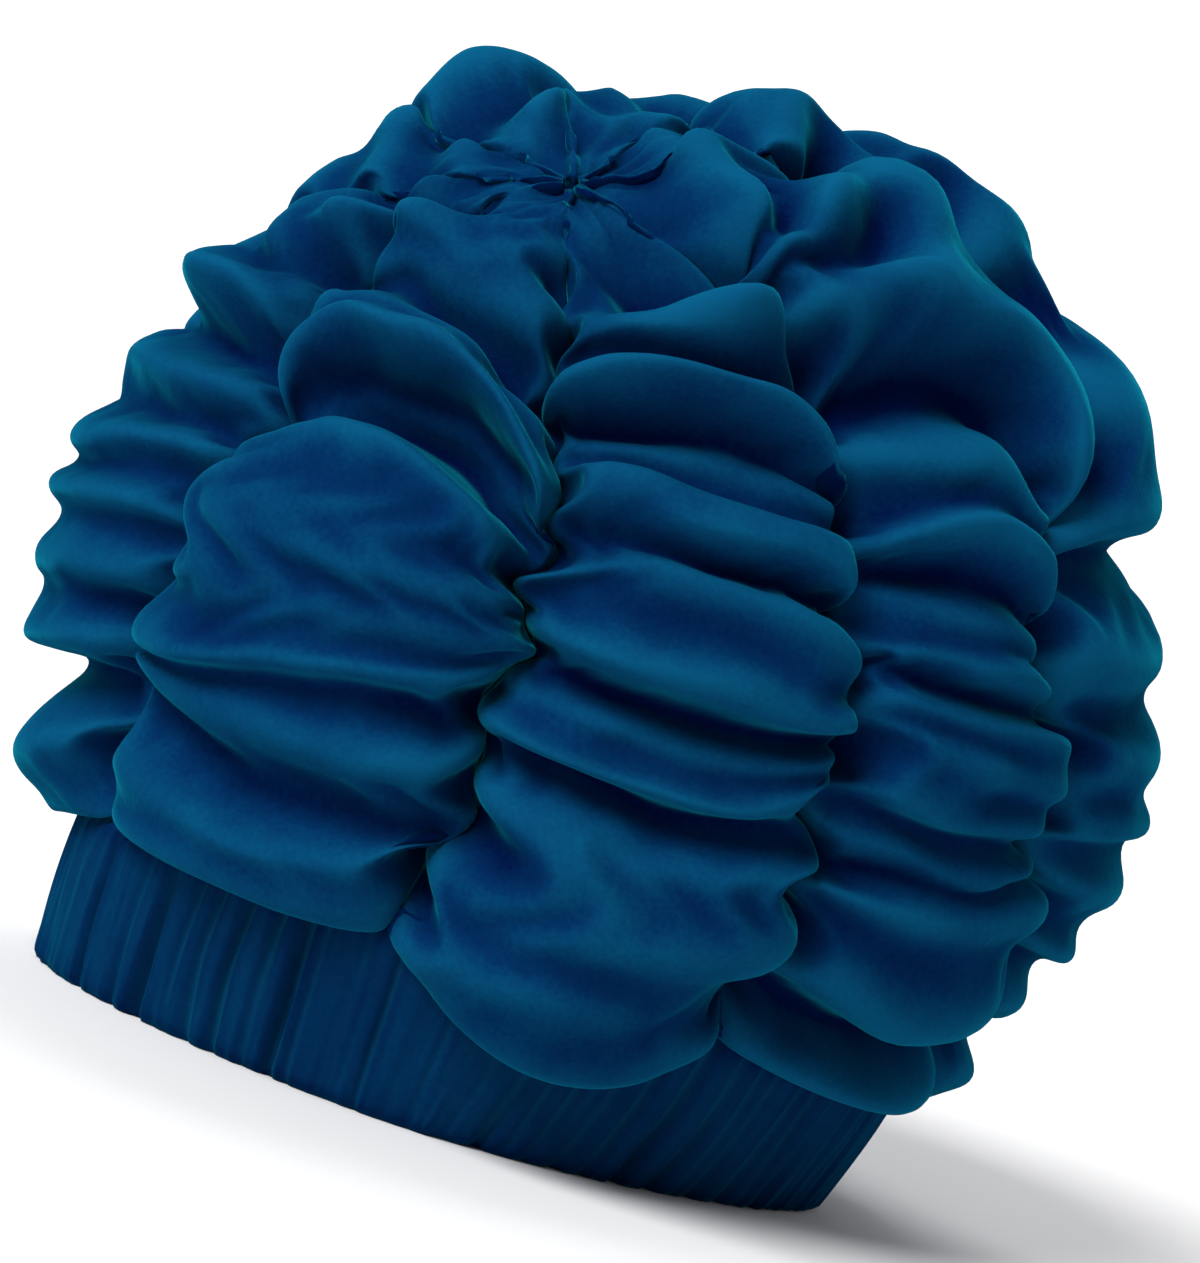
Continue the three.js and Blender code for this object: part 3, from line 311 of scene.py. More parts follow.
# a seam stands higher or deeper here: height, half length, rise
SEAM_LIFTS = {
    "back_left": (0.77, 0.07, 13.0), "right": (0.86, 0.08, 5.0), "left": (0.80, 0.08, 4.0),
    "front": (0.84, 0.09, -13.0), "left_front": (0.79, 0.07, -8.0), "front_right": (0.78, 0.07, -5.0),
}
SEAM_CREASE = {"depth": 2.4, "half_width": 0.03}
TOP_PLEATS = {"count": 15, "depth": 0.8}

ACROSS = (0, 0.25, 0.5, 0.75, 1)
RISES = (0, 0.5, 1)


def mirrored(folds):
    return [(r[0],) + tuple(r[1:6][::-1]) + tuple(r[6:9][::-1]) for r in folds]


# name, seam at its left, seam at its right, folds, seed of its small wrinkles
PANELS = [
    ("crown_panel_1", "left_front", "front", FRONT_LEFT_FOLDS, 11),
    ("crown_panel_2", "front", "front_right", FRONT_FOLDS, 12),
    ("crown_panel_3", "front_right", "right", RIGHT_FOLDS, 13),
    ("crown_panel_4", "right", "back_right", BACK_RIGHT_FOLDS, 14),
    ("crown_panel_5", "back_right", "back", BACK_FOLDS, 15),
    ("crown_panel_6", "back", "back_left", BACK_TOP_FOLDS, 16),
    ("crown_panel_7", "back_left", "left", BACK_LEFT_FOLDS, 17),
    ("crown_panel_8", "left", "left_front", LEFT_FOLDS, 18),
]
ROWS, COLUMNS = 230, 54         # mesh of one panel
CLOTH = 1.1                      # thickness of the panel cloth
DROOP = 0.0007                   # a fold sinks this share of the crown for each mm of its rise
PUCKER = {"depth": 0.9, "reach": 0.16, "wave": 0.021}    # small gathers beside the seams
WRINKLE = {"depth": 1.1, "across": 3.2, "along": 22.0}   # soft unevenness of the folds
WANDER = {"shift": 0.012, "across": 1.9, "along": 8.0}   # folds wander up and down
SEAM_RISES = {"from": 0.68, "to": 0.90, "by": 14.5}       # seams grow shallow toward the top
TOP_CALM = {"level": 5.0, "share": 0.35}                 # folds close to the top gather
FADE = {"least": 0.45, "most": 1.15, "across": 1.7, "along": 7.0, "reach": 0.05, "at_top": 0.5}  # folds fade in and out


def through(places, values, at):
    """Smooth curve through values at the given places; at is an array."""
    places = np.asarray(places, float)
    values = [np.asarray(v, float) for v in values]
    x = np.clip(np.asarray(at, float), places[0], places[-1])
    n = len(places)
    d = [(values[k + 1] - values[k]) / (places[k + 1] - places[k]) for k in range(n - 1)]
    m = [d[0]]
    for k in range(1, n - 1):
        a, b = places[k] - places[k - 1], places[k + 1] - places[k]
        m.append((d[k - 1] * b + d[k] * a) / (a + b))
    m.append(d[-1])
    v, m = np.array(values), np.array(m)
    i = np.clip(np.searchsorted(places, x, side="right") - 1, 0, n - 2)
    h = places[i + 1] - places[i]
    s = (x - places[i]) / h
    return ((2 * s**3 - 3 * s**2 + 1) * v[i] + (s**3 - 2 * s**2 + s) * h * m[i]
            + (3 * s**2 - 2 * s**3) * v[i + 1] + (s**3 - s**2) * h * m[i + 1])


def soft_noise(x, y, seed):
    """Smooth noise between -1 and 1 with cells one unit wide."""
    rng = np.random.default_rng(seed)
    grid = rng.uniform(-1, 1, (64, 64))
    xi, yi = np.floor(x).astype(int), np.floor(y).astype(int)
    fx, fy = x - xi, y - yi
    fx, fy = fx * fx * (3 - 2 * fx), fy * fy * (3 - 2 * fy)
    g = lambda a, b: grid[a % 64, b % 64]
    return ((g(xi, yi) * (1 - fx) + g(xi + 1, yi) * fx) * (1 - fy)
            + (g(xi, yi + 1) * (1 - fx) + g(xi + 1, yi + 1) * fx) * fy)


_top = np.array(TOP_DIRECTION) / np.linalg.norm(TOP_DIRECTION)
_angle = math.acos(_top[2])
_axis = np.cross([0, 0, 1], _top)
_axis = _axis / np.linalg.norm(_axis)


def crown_point(t, azimuth, rise):
    """Points of the crown, in mm, from arrays of height, azimuth in degrees and rise."""
    t, azimuth, rise = np.broadcast_arrays(t, azimuth, rise)
    along = np.maximum(t, 0)
    lat = np.radians(CROWN_START + (90 - CROWN_START) * along)
    w = np.clip(along, 0, 1)
    turn = (w * w * (3 - 2 * w) * _angle)[..., None]
    az = np.radians(azimuth)
    d = np.stack([np.cos(lat) * np.cos(az), np.cos(lat) * np.sin(az), np.sin(lat)], -1)
    d = d * np.cos(turn) + np.cross(_axis, d) * np.sin(turn) + _axis * (d @ _axis)[..., None] * (1 - np.cos(turn))
    z = np.where(d[..., 2] > 0, SHELL["up"], SHELL["down"]) + rise
    r = 1 / np.sqrt((d[..., 0] / (SHELL["x"] + rise))**2 + (d[..., 1] / (SHELL["y"] + rise))**2 + (d[..., 2] / z)**2)
    drop = np.where(t < 0, -t * CROWN_REACH * np.clip((rise - 3) / 5, 0, 1), 0)
    p = d * r[..., None]
    p[..., 2] += SHELL["centre"] - drop
    return p


def seam_azimuth(name, t):
    a = through(SEAM_HEIGHTS, SEAMS[name], np.maximum(t, 0))
    for at, half, shift in SCALLOPS[name]:
        a = a + shift * np.exp(-(((t - at) / half) ** 2))
    return a


def seam_level(t):
    x = np.clip((t - HEM_AT) / HEM_SHARE, 0, 1)
    y = np.clip((t - SEAM_RISES["from"]) / (SEAM_RISES["to"] - SEAM_RISES["from"]), 0, 1)
    return (HEM_LEVEL + (SEAM_LEVEL - HEM_LEVEL) * x * x * (3 - 2 * x)
            + SEAM_RISES["by"] * y * y * (3 - 2 * y))


def seam_lift(name, t):
    at, half, rise = SEAM_LIFTS.get(name, (0.5, 1.0, 0.0))
    return rise * np.exp(-(((t - at) / half) ** 2))


def crest_rise(P, lines):
    """Rise of such lines at each point of a grid, in mm."""
    total = np.zeros(P.shape[:-1])
    for _, *points, rise, half in lines:
        ts, az = zip(*points)
        az = [a + 360 if a < -100 and max(az) > 100 else a for a in az]
        s = np.linspace(0, 4, 41)
        line = crown_point(through(range(5), ts, s), through(range(5), az, s), np.full_like(s, 7.0))
        d = np.full(P.shape[:-1], 1e9)
        for k in range(len(line)):
            ends = min(1.0, 0.25 + min(k, 40 - k) / 10)
            d = np.minimum(d, np.sqrt(((P - line[k]) ** 2).sum(-1)) / half + (1 - ends) * 1.2)
        total = np.maximum(total, rise * np.exp(-d ** 1.5))
    return total


def hem_at(azimuth):
    return HEM_AT + HEM_TILT * np.cos(np.radians(azimuth - HEM_HIGH_SIDE))


def is_ridge(kind):
    return kind in ("ridge", "edge")


def fold_blend(a, b, x):
    smooth = x * x * (3 - 2 * x)
    if is_ridge(a) == is_ridge(b):
        return smooth
    rounded = math.sin(x * math.pi / 2) if is_ridge(b) else 1 - math.sin((1 - x) * math.pi / 2)
    return 0.15 * rounded + 0.85 * smooth


def panel_points(left, right, folds, seed):
    """Grid of points of one panel's outside, rows from the band to the top."""
    # columns crowd toward the seams
    s = np.linspace(-1, 1, COLUMNS)
    u = 0.5 + 0.5 * np.sign(s) * (1 - (1 - np.abs(s)) ** 1.25)
    at = [through(ACROSS, r[1:6], u) for r in folds]
    rise = [through(RISES, r[6:9], u) for r in folds]
    la, ra = seam_azimuth(left, np.array(HEM_AT)), seam_azimuth(right, np.array(HEM_AT))
    ra = ra + 360 if ra < la else ra
    at[0] = hem_at(la + (ra - la) * u)
    rise[0] = np.full_like(u, HEM_LEVEL)
    lengths = [float(np.mean(np.hypot((at[i + 1] - at[i]) * CROWN_REACH, rise[i + 1] - rise[i]))) + 1.0 for i in range(len(folds) - 1)]
    share = ROWS / sum(lengths)
    T, H = [], []
    for i in range(len(folds) - 1):
        n = max(3, int(round(lengths[i] * share)))
        for k in range(n):
            x = k / n
            T.append(at[i] + (at[i + 1] - at[i]) * x)
            H.append(rise[i] + (rise[i + 1] - rise[i]) * fold_blend(folds[i][0], folds[i + 1][0], x))
    T.append(at[-1])
    H.append(rise[-1])
    T, H = np.array(T), np.array(H)
    U = np.broadcast_to(u, T.shape)
    arch = np.sqrt(np.maximum(0, 1 - np.abs(2 * U - 1) ** SHOULDER))
    calm = np.clip((T - 0.03) / 0.05, 0, 1) * np.clip((0.96 - T) / 0.06, 0, 1)
    # folds fade in and out, and are calm at the top
    mean, weight = np.zeros_like(H), 0
    for shift in np.linspace(-FADE["reach"], FADE["reach"], 9):
        for j in range(H.shape[1]):
            mean[:, j] += np.interp(T[:, j] + shift, T[:, j], H[:, j])
        weight += 1
    mean /= weight
    share = FADE["least"] + (FADE["most"] - FADE["least"]) * (0.5 + 0.5 * soft_noise(U * FADE["across"] + 1, T * FADE["along"] + 2, seed + 10))
    share = share + (FADE["at_top"] - share) * np.clip((T - 0.82) / 0.08, 0, 1)
    body = np.clip((T - 0.06) / 0.04, 0, 1) * np.clip((0.97 - T) / 0.03, 0, 1)
    H = H + body * (share - 1) * (H - mean)
    H = H + np.clip((T - 0.80) / 0.10, 0, 1) * (TOP_CALM["share"] - 1) * (H - TOP_CALM["level"])
    # small wrinkles
    H = H + calm * WRINKLE["depth"] * (soft_noise(U * WRINKLE["across"], T * WRINKLE["along"], seed)
                                       + 0.5 * soft_noise(U * 7 + 9, T * 47 + 3, seed + 50))
    side = np.minimum(U, 1 - U)
    edge = np.clip(1 - side / PUCKER["reach"], 0, 1) ** 1.3
    phase = T / PUCKER["wave"] + 0.8 * soft_noise(U * 3 + 5, T * 16, seed + 90) + np.where(U < 0.5, 0.0, 0.37)
    strength = 0.6 + 0.6 * soft_noise(U * 1.0 + 2, T * 9 + 4, seed + 70)
    H = H + calm * edge * strength * PUCKER["depth"] * np.sin(2 * np.pi * phase)
    T = T + calm * WANDER["shift"] * soft_noise(U * WANDER["across"] + 3, T * WANDER["along"], seed + 30) * arch
    T = T - calm * DROOP * (H - 3.0) * arch
    low = seam_level(T) + seam_lift(left, T) * (1 - U) + seam_lift(right, T) * U
    rise_ = low + (H - low) * arch
    left_az, right_az = seam_azimuth(left, T), seam_azimuth(right, T)
    right_az = np.where(right_az < left_az, right_az + 360, right_az)
    lean = LEAN.get(left, 0) * (1 - U) ** 2 + LEAN.get(right, 0) * U ** 2
    az = left_az + (right_az - left_az) * U + lean * np.maximum(0, rise_ - low) * np.clip((0.9 - T) * 5, 0, 1)
    level = crown_point(T, az, np.full_like(T, 7.0))
    rise_ = rise_ + calm * (crest_rise(level, CRESTS) - crest_rise(level, HOLLOWS))
    closing = np.clip((T - 0.80) / 0.12, 0, 1)
    rise_ = rise_ - SEAM_CREASE["depth"] * (1 - 0.8 * closing) * calm * np.exp(-(side / SEAM_CREASE["half_width"]) ** 2)
    # small pleats run into the top gather
    near = np.clip((T - 0.86) / 0.07, 0, 1) * np.clip((1.0 - T) / 0.03, 0, 1)
    turn = az / 360 * TOP_PLEATS["count"] + 1.3 * soft_noise(az / 31.0 + 7, T * 14, 77)
    rise_ = rise_ + near * TOP_PLEATS["depth"] * np.sin(2 * np.pi * turn) * (0.6 + 0.5 * soft_noise(az / 47.0 + 3, T * 9, 78))
    return crown_point(T, az, rise_)


def same_rows(P):
    """The same grid of points with exactly ROWS rows."""
    x = np.linspace(0, len(P) - 1, ROWS)
    i = np.minimum(x.astype(int), len(P) - 2)
    f = (x - i)[:, None, None]
    return P[i] * (1 - f) + P[i + 1] * f


def smooth_grid(P, times, closed=False):
    """Takes the sharpest corners off a grid of points, edges kept."""
    P = P.copy()
    for _ in range(times):
        Q = P.copy()
        Q[1:-1] = 0.5 * P[1:-1] + 0.25 * (P[:-2] + P[2:])
        if closed:
            Q = 0.5 * Q + 0.25 * (np.roll(Q, 1, 1) + np.roll(Q, -1, 1))
            Q[0], Q[-1] = P[0], P[-1]
        else:
            R = Q.copy()
            R[:, 1:-1] = 0.5 * Q[:, 1:-1] + 0.25 * (Q[:, :-2] + Q[:, 2:])
            R[0], R[-1] = P[0], P[-1]
            R[:, 0], R[:, -1] = P[:, 0], P[:, -1]
            Q = R
        P = Q
    return P


def grid_normals(P, closed=False):
    du = np.roll(P, -1, 1) - np.roll(P, 1, 1) if closed else np.gradient(P, axis=1)
    dv = np.gradient(P, axis=0)
    n = np.cross(du, dv)
    return n / np.maximum(np.linalg.norm(n, axis=-1, keepdims=True), 1e-9)


def crest_of(P, N, reach, scale, closed=False):
    """How far each point stands above its neighbours: 0 in a hollow, 1 on a crest."""
    Q = P.copy()
    for _ in range(reach):
        R = np.concatenate([Q[:1], Q[:-1]]), np.concatenate([Q[1:], Q[-1:]])
        Q = 0.5 * Q + 0.25 * (R[0] + R[1])
        left = np.roll(Q, 1, 1) if closed else np.concatenate([Q[:, :1], Q[:, :-1]], 1)
        right = np.roll(Q, -1, 1) if closed else np.concatenate([Q[:, 1:], Q[:, -1:]], 1)
        Q = 0.5 * Q + 0.25 * (left + right)
    return np.clip(0.5 + ((P - Q) * N).sum(-1) / scale, 0, 1)


def store_crest_shading(obj, crest_shading):
    """Stores the crests of both sides of a wall on its points, as the weight of the painted light on crests and painted
    shade in hollows; the inside gets half of it, so it is painted darker as shade.
    """
    both = np.concatenate([crest_shading.ravel(), 0.5 * crest_shading.ravel()]).astype(np.float32)
    obj.data.attributes.new("crest_shading", "FLOAT", "POINT").data.foreach_set("value", both)


def wall_mesh(name, outer, inner, closed=False):
    """Closed wall between two grids of points in mm."""
    rows, cols = outer.shape[:2]
    verts = np.concatenate([outer.reshape(-1, 3), inner.reshape(-1, 3)]) - np.array(ORIGIN)
    n = rows * cols
    i = np.arange(rows - 1)[:, None]
    j = np.arange(cols if closed else cols - 1)[None, :]
    j2 = (j + 1) % cols
    a, b, c, d = i * cols + j, i * cols + j2, (i + 1) * cols + j2, (i + 1) * cols + j
    quads = [np.stack([a, b, c, d], -1).reshape(-1, 4), np.stack([a, d, c, b], -1).reshape(-1, 4) + n]
    jj, jj2 = j.ravel(), j2.ravel()
    quads.append(np.stack([jj, jj + n, jj2 + n, jj2], -1))
    e = (rows - 1) * cols
    quads.append(np.stack([e + jj, e + jj2, e + jj2 + n, e + jj + n], -1))
    if not closed:
        ii = i.ravel()
        for col, flip in ((0, False), (cols - 1, True)):
            q = np.stack([ii * cols + col, (ii + 1) * cols + col, (ii + 1) * cols + col + n, ii * cols + col + n], -1)
            quads.append(q[:, ::-1] if flip else q)
    faces = np.concatenate(quads)
    mesh = bpy.data.meshes.new(name)
    mesh.vertices.add(len(verts))
    mesh.vertices.foreach_set("co", (verts * MM).astype(np.float32).ravel())
    mesh.loops.add(len(faces) * 4)
    mesh.loops.foreach_set("vertex_index", faces.astype(np.int32).ravel())
    mesh.polygons.add(len(faces))
    mesh.polygons.foreach_set("loop_start", np.arange(0, len(faces) * 4, 4, dtype=np.int32))
    mesh.update(calc_edges=True)
    mesh.validate()
    mesh.polygons.foreach_set("use_smooth", np.ones(len(mesh.polygons), dtype=bool))
    obj = bpy.data.objects.new(name, mesh)
    bpy.context.scene.collection.objects.link(obj)
    return obj


# ---- the cloth settles: slack along each panel buckles into small folds ----
SLACK = {"along_middle": 1.10, "along_seam": 1.34, "seam_reach": 0.17, "across": 1.02}
SETTLE = {"steps": 150, "hold": 0.010, "bend_along": 0.16, "bend_across": 0.22, "sag": 0.004, "furthest": 4.6}


def size(v):
    return np.sqrt((v * v).sum(-1))


def pull(P, a, b, length, free, stiff, push_only=False):
    """Moves the points a and b of each pair toward their length apart."""
    A, B = P[a], P[b]
    d = B - A
    now = size(d)
    f = stiff * (now - length) / np.maximum(now, 1e-6)
    if push_only:
        f = np.minimum(f, 0)
    wa, wb = free[a], free[b]
    d = d * (f / np.maximum(wa + wb, 1e-6))[..., None]
    P[a] = A + d * wa[..., None]
    P[b] = B - d * wb[..., None]


def settle(panels):
    """Lets grids of points, in mm, find the shape of slack cloth held at its edges."""
    P = np.array(panels, float)
    start = P.copy()
    rows, cols = P.shape[1:3]
    u, t = np.linspace(0, 1, cols), np.linspace(0, 1, rows)
    seamward = np.exp(-(np.minimum(u, 1 - u) / SLACK["seam_reach"]) ** 1.5)
    ends = np.clip(np.minimum(t / 0.06, (1 - t) / 0.10), 0, 1)[:, None]
    along = 1 + ends * (SLACK["along_middle"] - 1 + (SLACK["along_seam"] - SLACK["along_middle"]) * seamward)
    across = 1 + ends * (SLACK["across"] - 1) * np.ones_like(u)
    free = np.ones(P.shape[:3])
    free[:, 0] = free[:, -1] = 0
    free[:, :, 0] = free[:, :, -1] = 0
    pairs = []

    def add(di, dj, growth, stiff, push_only=False):
        # pairs of points (di, dj) apart, in groups that share no point
        r, c = rows - di, cols - abs(dj)
        step = max(di, abs(dj))
        for o in range(2):
            if di:
                i = np.concatenate([np.arange(k, r, 2 * step) for k in range(o * step, o * step + step)])
                j = np.arange(c)
            else:
                i = np.arange(r)
                j = np.concatenate([np.arange(k, c, 2 * step) for k in range(o * step, o * step + step)])
            i, j = np.sort(i[i < r]), np.sort(j[j < c])
            jj = j if dj >= 0 else j - dj
            a = (slice(None), i[:, None], jj[None, :])
            b = (slice(None), i[:, None] + di, jj[None, :] + dj)
            length = size(P[b] - P[a]) * 0.5 * (growth[a[1], a[2]] + growth[b[1], b[2]])
            pairs.append((a, b, length, stiff, push_only))

    both = np.sqrt(0.5 * (along ** 2 + across ** 2))
    add(1, 0, along, 0.9)
    add(0, 1, across, 0.9)
    add(1, 1, both, 0.35)
    add(1, -1, both, 0.35)
    add(2, 0, along, SETTLE["bend_along"], True)
    add(6, 0, along, SETTLE["bend_along"], True)
    add(0, 3, across, SETTLE["bend_across"], True)
    hold = SETTLE["hold"] * free[..., None]
    speed = np.zeros_like(P)
    for step in range(SETTLE["steps"]):
        before = P.copy()
        P += 0.85 * speed
        P[..., 2] -= SETTLE["sag"] * free
        for p in pairs:
            pull(P, p[0], p[1], p[2], free, p[3], p[4])
        P += hold * (start - P)
        away = P - start
        far = size(away)
        P = start + away * np.minimum(1, SETTLE["furthest"] / np.maximum(far, 1e-6))[..., None]
        speed = P - before
    return P


def finer(P):
    """Doubles a grid of points across the panel with a smooth curve."""
    for axis in (1,):
        Q = np.moveaxis(P, axis, 0)
        E = np.concatenate([2 * Q[:1] - Q[1:2], Q, 2 * Q[-1:] - Q[-2:-1]])
        mid = (-E[:-3] + 9 * E[1:-2] + 9 * E[2:-1] - E[3:]) / 16
        out = np.empty((2 * len(Q) - 1,) + Q.shape[1:])
        out[::2], out[1::2] = Q, mid
        P = np.moveaxis(out, 0, axis)
    return P


# ---- the band ----
BAND_EDGE = {"half_x": 89.5, "half_y": 73.0, "centre_x": -6.7, "squareness": 1.66}
BAND_BELOW_CROWN = 1.0
BAND_WALL = 2.0
BAND_ROWS, BAND_COLUMNS = 30, 1300
# grooves on the side facing the camera: place along X, depth, half width
GROOVES = [
    (-84, 2.0, 1.2), (-76, 1.3, 1.3), (-70.5, 2.2, 1.6), (-63.5, 0.9, 1.0), (-58.5, 1.9, 1.2), (-52.5, 1.6, 1.2),
    (-45.5, 2.3, 1.4), (-39.5, 2.3, 1.4), (-35, 1.2, 1.0), (-26, 0.4, 1.2), (-18.5, 0.9, 0.9), (-5, 0.6, 1.2),
    (6, 0.4, 1.4), (13.2, 1.8, 1.6), (18.7, 0.9, 1.0), (24, 1.2, 1.2), (31, 1.9, 1.5), (37, 1.2, 1.1), (44.3, 2.0, 1.4),
    (51.5, 1.7, 1.3), (56, 0.8, 1.0), (60, 1.0, 1.1), (65.8, 1.9, 1.3), (69.5, 0.9, 1.0), (73, 1.8, 1.2), (78, 1.3, 1.1), (82.5, 1.5, 1.0),
]
GROOVE_SHARE = 1.6
HIDDEN_GROOVES = {"count": 40, "depth": 1.6, "half_width": 1.3, "seed": 5}


def band_points():
    def edge(a):
        p = 2 / BAND_EDGE["squareness"]
        c, s = np.cos(a), np.sin(a)
        return np.stack([BAND_EDGE["centre_x"] + BAND_EDGE["half_x"] * np.sign(c) * np.abs(c) ** p,
                         BAND_EDGE["half_y"] * np.sign(s) * np.abs(s) ** p, 0 * a], -1)

    def crown_edge(a):
        az = np.degrees(a)
        p = crown_point(hem_at(az), az, np.full_like(a, HEM_LEVEL))
        p[..., 2] -= BAND_BELOW_CROWN
        return p

    fine = np.linspace(0, 2 * np.pi, 7201)
    mid = 0.5 * (edge(fine) + crown_edge(fine))
    run = np.concatenate([[0], np.cumsum(np.linalg.norm(np.diff(mid, axis=0), axis=1))])
    length = run[-1]
    s = np.arange(BAND_COLUMNS) / BAND_COLUMNS * length
    a = np.interp(s, run, fine)
    low, high = edge(a), crown_edge(a)
    along = np.roll(0.5 * (low + high), -2, 0) - np.roll(0.5 * (low + high), 2, 0)
    out = np.stack([along[:, 1], -along[:, 0], 0 * s], -1)
    out /= np.linalg.norm(out, axis=-1, keepdims=True)
    # where each groove lies along the band
    m = 0.5 * (low + high)
    grooves = []
    facing = m[:, 1] < 0
    for x, depth, half in GROOVES:
        k = np.where(facing, np.abs(m[:, 0] - x), 1e9).argmin()
        grooves.append((s[k], depth, half))
    rng = np.random.default_rng(HIDDEN_GROOVES["seed"])
    hidden = s[~facing]
    h0, h1 = hidden.min(), hidden.max()
    n = HIDDEN_GROOVES["count"]
    for k in range(n):
        grooves.append((h0 + (h1 - h0) * (k + 0.5 + rng.uniform(-0.28, 0.28)) / n,
                        HIDDEN_GROOVES["depth"] * rng.uniform(0.5, 1.25), HIDDEN_GROOVES["half_width"] * rng.uniform(0.8, 1.3)))
    levels = np.linspace(0, 1, BAND_ROWS)
    P, Q = [], []
    for v in levels:
        wander = 0.9 * soft_noise(s / 19.0, np.full_like(s, v * 2.2), 61) + (v - 0.5) * 1.6 * soft_noise(s / 31.0, 0 * s, 62)
        depth = np.zeros_like(s)
        for place, deep, half in grooves:
            gap = (s + wander - place + length / 2) % length - length / 2
            fade = 0.75 + 0.35 * math.sin(7.1 * place + 3.0 * v)
            depth = np.maximum(depth, GROOVE_SHARE * deep * fade * np.exp(-((gap / half) ** 2)))
        # soft round pleats between the grooves
        swell = 0.45 * soft_noise(s / 3.4, np.full_like(s, v * 1.4), 63) + 0.22 * soft_noise(s / 1.5, np.full_like(s, v * 2), 64)
        round_edge = 0.9 * max(0.0, 1 - v / 0.045) ** 2
        tuck = 2.6 * max(0.0, (v - 0.86) / 0.14) ** 2
        bulge = 0.7 * math.sin(math.pi * v) + swell - depth - round_edge - tuck
        base = low * (1 - v) + high * v
        P.append(base + out * bulge[:, None])
        Q.append(base + out * (0.35 * (swell - depth) - BAND_WALL - tuck)[:, None])
    return np.array(P), np.array(Q)


# ---- looks ----
def node(tree, kind, at=(0, 0), **inputs):
    n = tree.nodes.new(kind)
    n.location = at
    for key, value in inputs.items():
        n.inputs[key.replace("_", " ")].default_value = value
    return n


def velvet(name, hollow_shade, middle, crest_shading, sheen, sheen_weight, weave, bump_mm):
    """Soft stretch velvet: painted navy shade in its hollows and a painted teal highlight on its crests, mixed with
    random tone patches and grain.
    """
    mat = bpy.data.materials.new(name)
    mat.use_nodes = True
    t = mat.node_tree
    t.nodes.clear()
    L = t.links.new
    out = node(t, "ShaderNodeOutputMaterial", (900, 0))
    b = node(t, "ShaderNodeBsdfPrincipled", (600, 0))
    b.inputs["Roughness"].default_value = 0.8
    b.inputs["Specular IOR Level"].default_value = 0.0
    b.inputs["Sheen Weight"].default_value = sheen_weight
    b.inputs["Sheen Roughness"].default_value = 0.3
    b.inputs["Sheen Tint"].default_value = sheen
    co = node(t, "ShaderNodeTexCoord", (-1100, 0))
    # the crest attribute paints light on the crests and shade in the hollows
    place = node(t, "ShaderNodeAttribute", (-800, 400))
    place.attribute_name = "crest_shading"
    noises = {}
    for key, scale, detail, rough in (("patch", 45.0, 5.0, 0.6), ("grain", 800.0, 3.0, 0.6), ("weave", weave, 4.0, 0.7), ("soft", 170.0, 4.0, 0.5)):
        n = node(t, "ShaderNodeTexNoise", (-800, -200 * len(noises)))
        n.inputs["Scale"].default_value = scale
        n.inputs["Detail"].default_value = detail
        n.inputs["Roughness"].default_value = rough
        L(co.outputs["Object"], n.inputs["Vector"])
        noises[key] = n
    add = node(t, "ShaderNodeMath", (-500, 200))
    add.operation = "MULTIPLY_ADD"
    add.inputs[1].default_value = 0.42
    L(noises["patch"].outputs["Fac"], add.inputs[0])
    L(place.outputs["Fac"], add.inputs[2])
    add2 = node(t, "ShaderNodeMath", (-350, 200))
    add2.operation = "MULTIPLY_ADD"
    add2.inputs[1].default_value = 0.30
    L(noises["grain"].outputs["Fac"], add2.inputs[0])
    L(add.outputs[0], add2.inputs[2])
    shift = node(t, "ShaderNodeMath", (-200, 200))
    shift.operation = "SUBTRACT"
    shift.inputs[1].default_value = 0.36
    L(add2.outputs[0], shift.inputs[0])
    # painted shade in the hollows, a middle tone, then a painted highlight on the crests; the noise patches and grain
    # vary the tone at random
    ramp = node(t, "ShaderNodeValToRGB", (0, 200))
    ramp.color_ramp.elements[0].position, ramp.color_ramp.elements[0].color = 0.12, hollow_shade
    ramp.color_ramp.elements[1].position, ramp.color_ramp.elements[1].color = 0.92, crest_shading
    mid = ramp.color_ramp.elements.new(0.48)
    mid.color = middle
    L(shift.outputs[0], ramp.inputs["Fac"])
    L(ramp.outputs["Color"], b.inputs["Base Color"])
    bump2 = node(t, "ShaderNodeBump", (50, -600))
    bump2.inputs["Strength"].default_value = 0.4
    bump2.inputs["Distance"].default_value = 0.5 * MM
    bump = node(t, "ShaderNodeBump", (300, -300))
    bump.inputs["Strength"].default_value = 0.6
    bump.inputs["Distance"].default_value = bump_mm * MM
    L(noises["soft"].outputs["Fac"], bump2.inputs["Height"])
    L(noises["weave"].outputs["Fac"], bump.inputs["Height"])
    L(bump2.outputs["Normal"], bump.inputs["Normal"])
    L(bump.outputs["Normal"], b.inputs["Normal"])
    L(b.outputs["BSDF"], out.inputs["Surface"])
    return mat


# colours: painted shade in the hollows, middle tone, painted highlight on the crests, then the sheen tint
panel_cloth = velvet("panel_cloth", (0.0005, 0.005, 0.042, 1), (0.0009, 0.022, 0.085, 1), (0.002, 0.068, 0.155, 1), (0.01, 0.6, 0.75, 1), 0.36, 1500.0, 0.22)
band_cloth = velvet("band_cloth", (0.0006, 0.008, 0.050, 1), (0.001, 0.025, 0.085, 1), (0.002, 0.055, 0.125, 1), (0.01, 0.55, 0.7, 1), 0.18, 1900.0, 0.25)

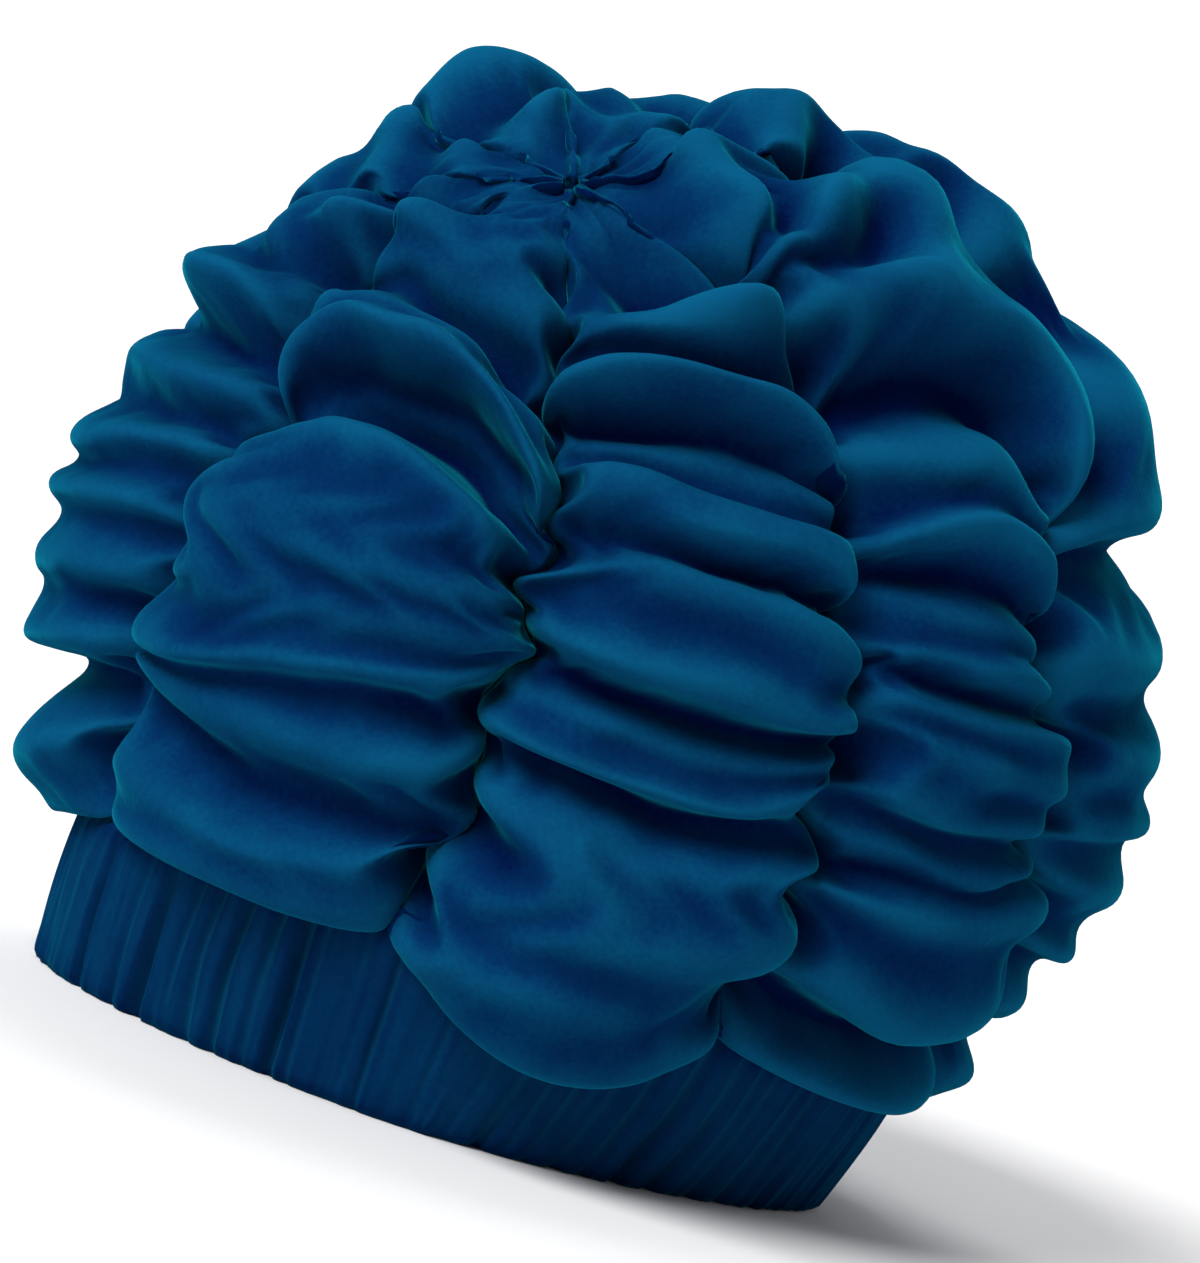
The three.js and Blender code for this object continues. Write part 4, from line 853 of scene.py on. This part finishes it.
grids = [smooth_grid(same_rows(panel_points(left, right, folds, seed)), 2) for _, left, right, folds, seed in PANELS]
grids = settle(grids)
for (name, *_), grid in zip(PANELS, grids):
    P = smooth_grid(finer(grid), 4)
    N = grid_normals(P)
    obj = wall_mesh("cloth_" + name, P, P - N * CLOTH)
    # the crests of the folds are painted light and their hollows painted shade
    store_crest_shading(obj, crest_of(P, N, 40, 7.0))
    obj.data.materials.append(panel_cloth)
    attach(obj, "root")
    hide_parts(name)

P, Q = band_points()
band = wall_mesh("cloth_stretch_band", P, Q, closed=True)
# the band's ribs are painted light and its grooves painted shade
store_crest_shading(band, crest_of(P, -grid_normals(P, True), 12, 2.2, True))
band.data.materials.append(band_cloth)
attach(band, "root")
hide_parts("stretch_band")

# ---- floor, light and camera ----
floor_mat = bpy.data.materials.new("pale_floor")
floor_mat.use_nodes = True
ft = floor_mat.node_tree
fb = ft.nodes["Principled BSDF"]
fb.inputs["Base Color"].default_value = (0.84, 0.84, 0.845, 1)
fb.inputs["Roughness"].default_value = 0.95
fb.inputs["Specular IOR Level"].default_value = 0.0


def backdrop():
    """A floor that curves up far behind the cap."""
    radius, back, width = 1.2, 1.6, 6.0
    profile = [(-5.0, 0.0), (back, 0.0)]
    profile += [(back + radius * math.sin(a), radius * (1 - math.cos(a))) for a in np.linspace(0, math.pi / 2, 24)[1:]]
    profile.append((back + radius, 5.0))
    verts = [(x, y, z - 0.0002) for y, z in profile for x in (-width, width)]
    faces = [(2 * i, 2 * i + 1, 2 * i + 3, 2 * i + 2) for i in range(len(profile) - 1)]
    m = bpy.data.meshes.new("backdrop")
    m.from_pydata(verts, [], faces)
    m.polygons.foreach_set("use_smooth", [True] * len(m.polygons))
    o = bpy.data.objects.new("backdrop", m)
    o.data.materials.append(floor_mat)
    bpy.context.scene.collection.objects.link(o)
    return o


backdrop()


def area_light(name, place, target, size, watts, colour=(1, 1, 1)):
    light = bpy.data.lights.new(name, "AREA")
    light.shape = "DISK"
    light.size = size
    light.energy = watts
    light.color = colour
    o = bpy.data.objects.new(name, light)
    o.location = place
    o.rotation_euler = (Vector(target) - Vector(place)).to_track_quat("-Z", "Y").to_euler()
    bpy.context.scene.collection.objects.link(o)
    return o


def sun(name, toward, strength, angle):
    light = bpy.data.lights.new(name, "SUN")
    light.energy = strength
    light.angle = math.radians(angle)
    o = bpy.data.objects.new(name, light)
    o.rotation_euler = Vector(toward).to_track_quat("-Z", "Y").to_euler()
    bpy.context.scene.collection.objects.link(o)
    return o


sun("key", (0.50, 0.52, -0.69), 3.75, 36)
area_light("top", (0.1, 0.5, 1.6), (0, 0, 0.1), 0.9, 9)

world = bpy.data.worlds.new("studio")
world.use_nodes = True
world.node_tree.nodes["Background"].inputs["Color"].default_value = (1, 1, 1, 1)
world.node_tree.nodes["Background"].inputs["Strength"].default_value = 0.22
bpy.context.scene.world = world

DISTANCE, ELEVATION, ROLL = 1.4, math.radians(4.5), math.radians(18)
TARGET = Vector((-0.0009 - ORIGIN[0] * MM, 0 - ORIGIN[1] * MM, 0.1044))
cam_data = bpy.data.cameras.new("camera")
cam_data.lens = 4.63 * 1400 / 1263 * 36
cam_data.sensor_width = 36
cam_data.sensor_fit = "AUTO"
cam_data.clip_start, cam_data.clip_end = 0.05, 50
cam = bpy.data.objects.new("camera", cam_data)
cam.location = TARGET + DISTANCE * Vector((0, -math.cos(ELEVATION), math.sin(ELEVATION)))
look = (TARGET - cam.location).to_track_quat("-Z", "Y").to_matrix()
cam.rotation_euler = (look @ Matrix.Rotation(ROLL, 3, "Z")).to_euler()
bpy.context.scene.collection.objects.link(cam)
bpy.context.scene.camera = cam
bpy.context.scene.view_settings.view_transform = "Standard"

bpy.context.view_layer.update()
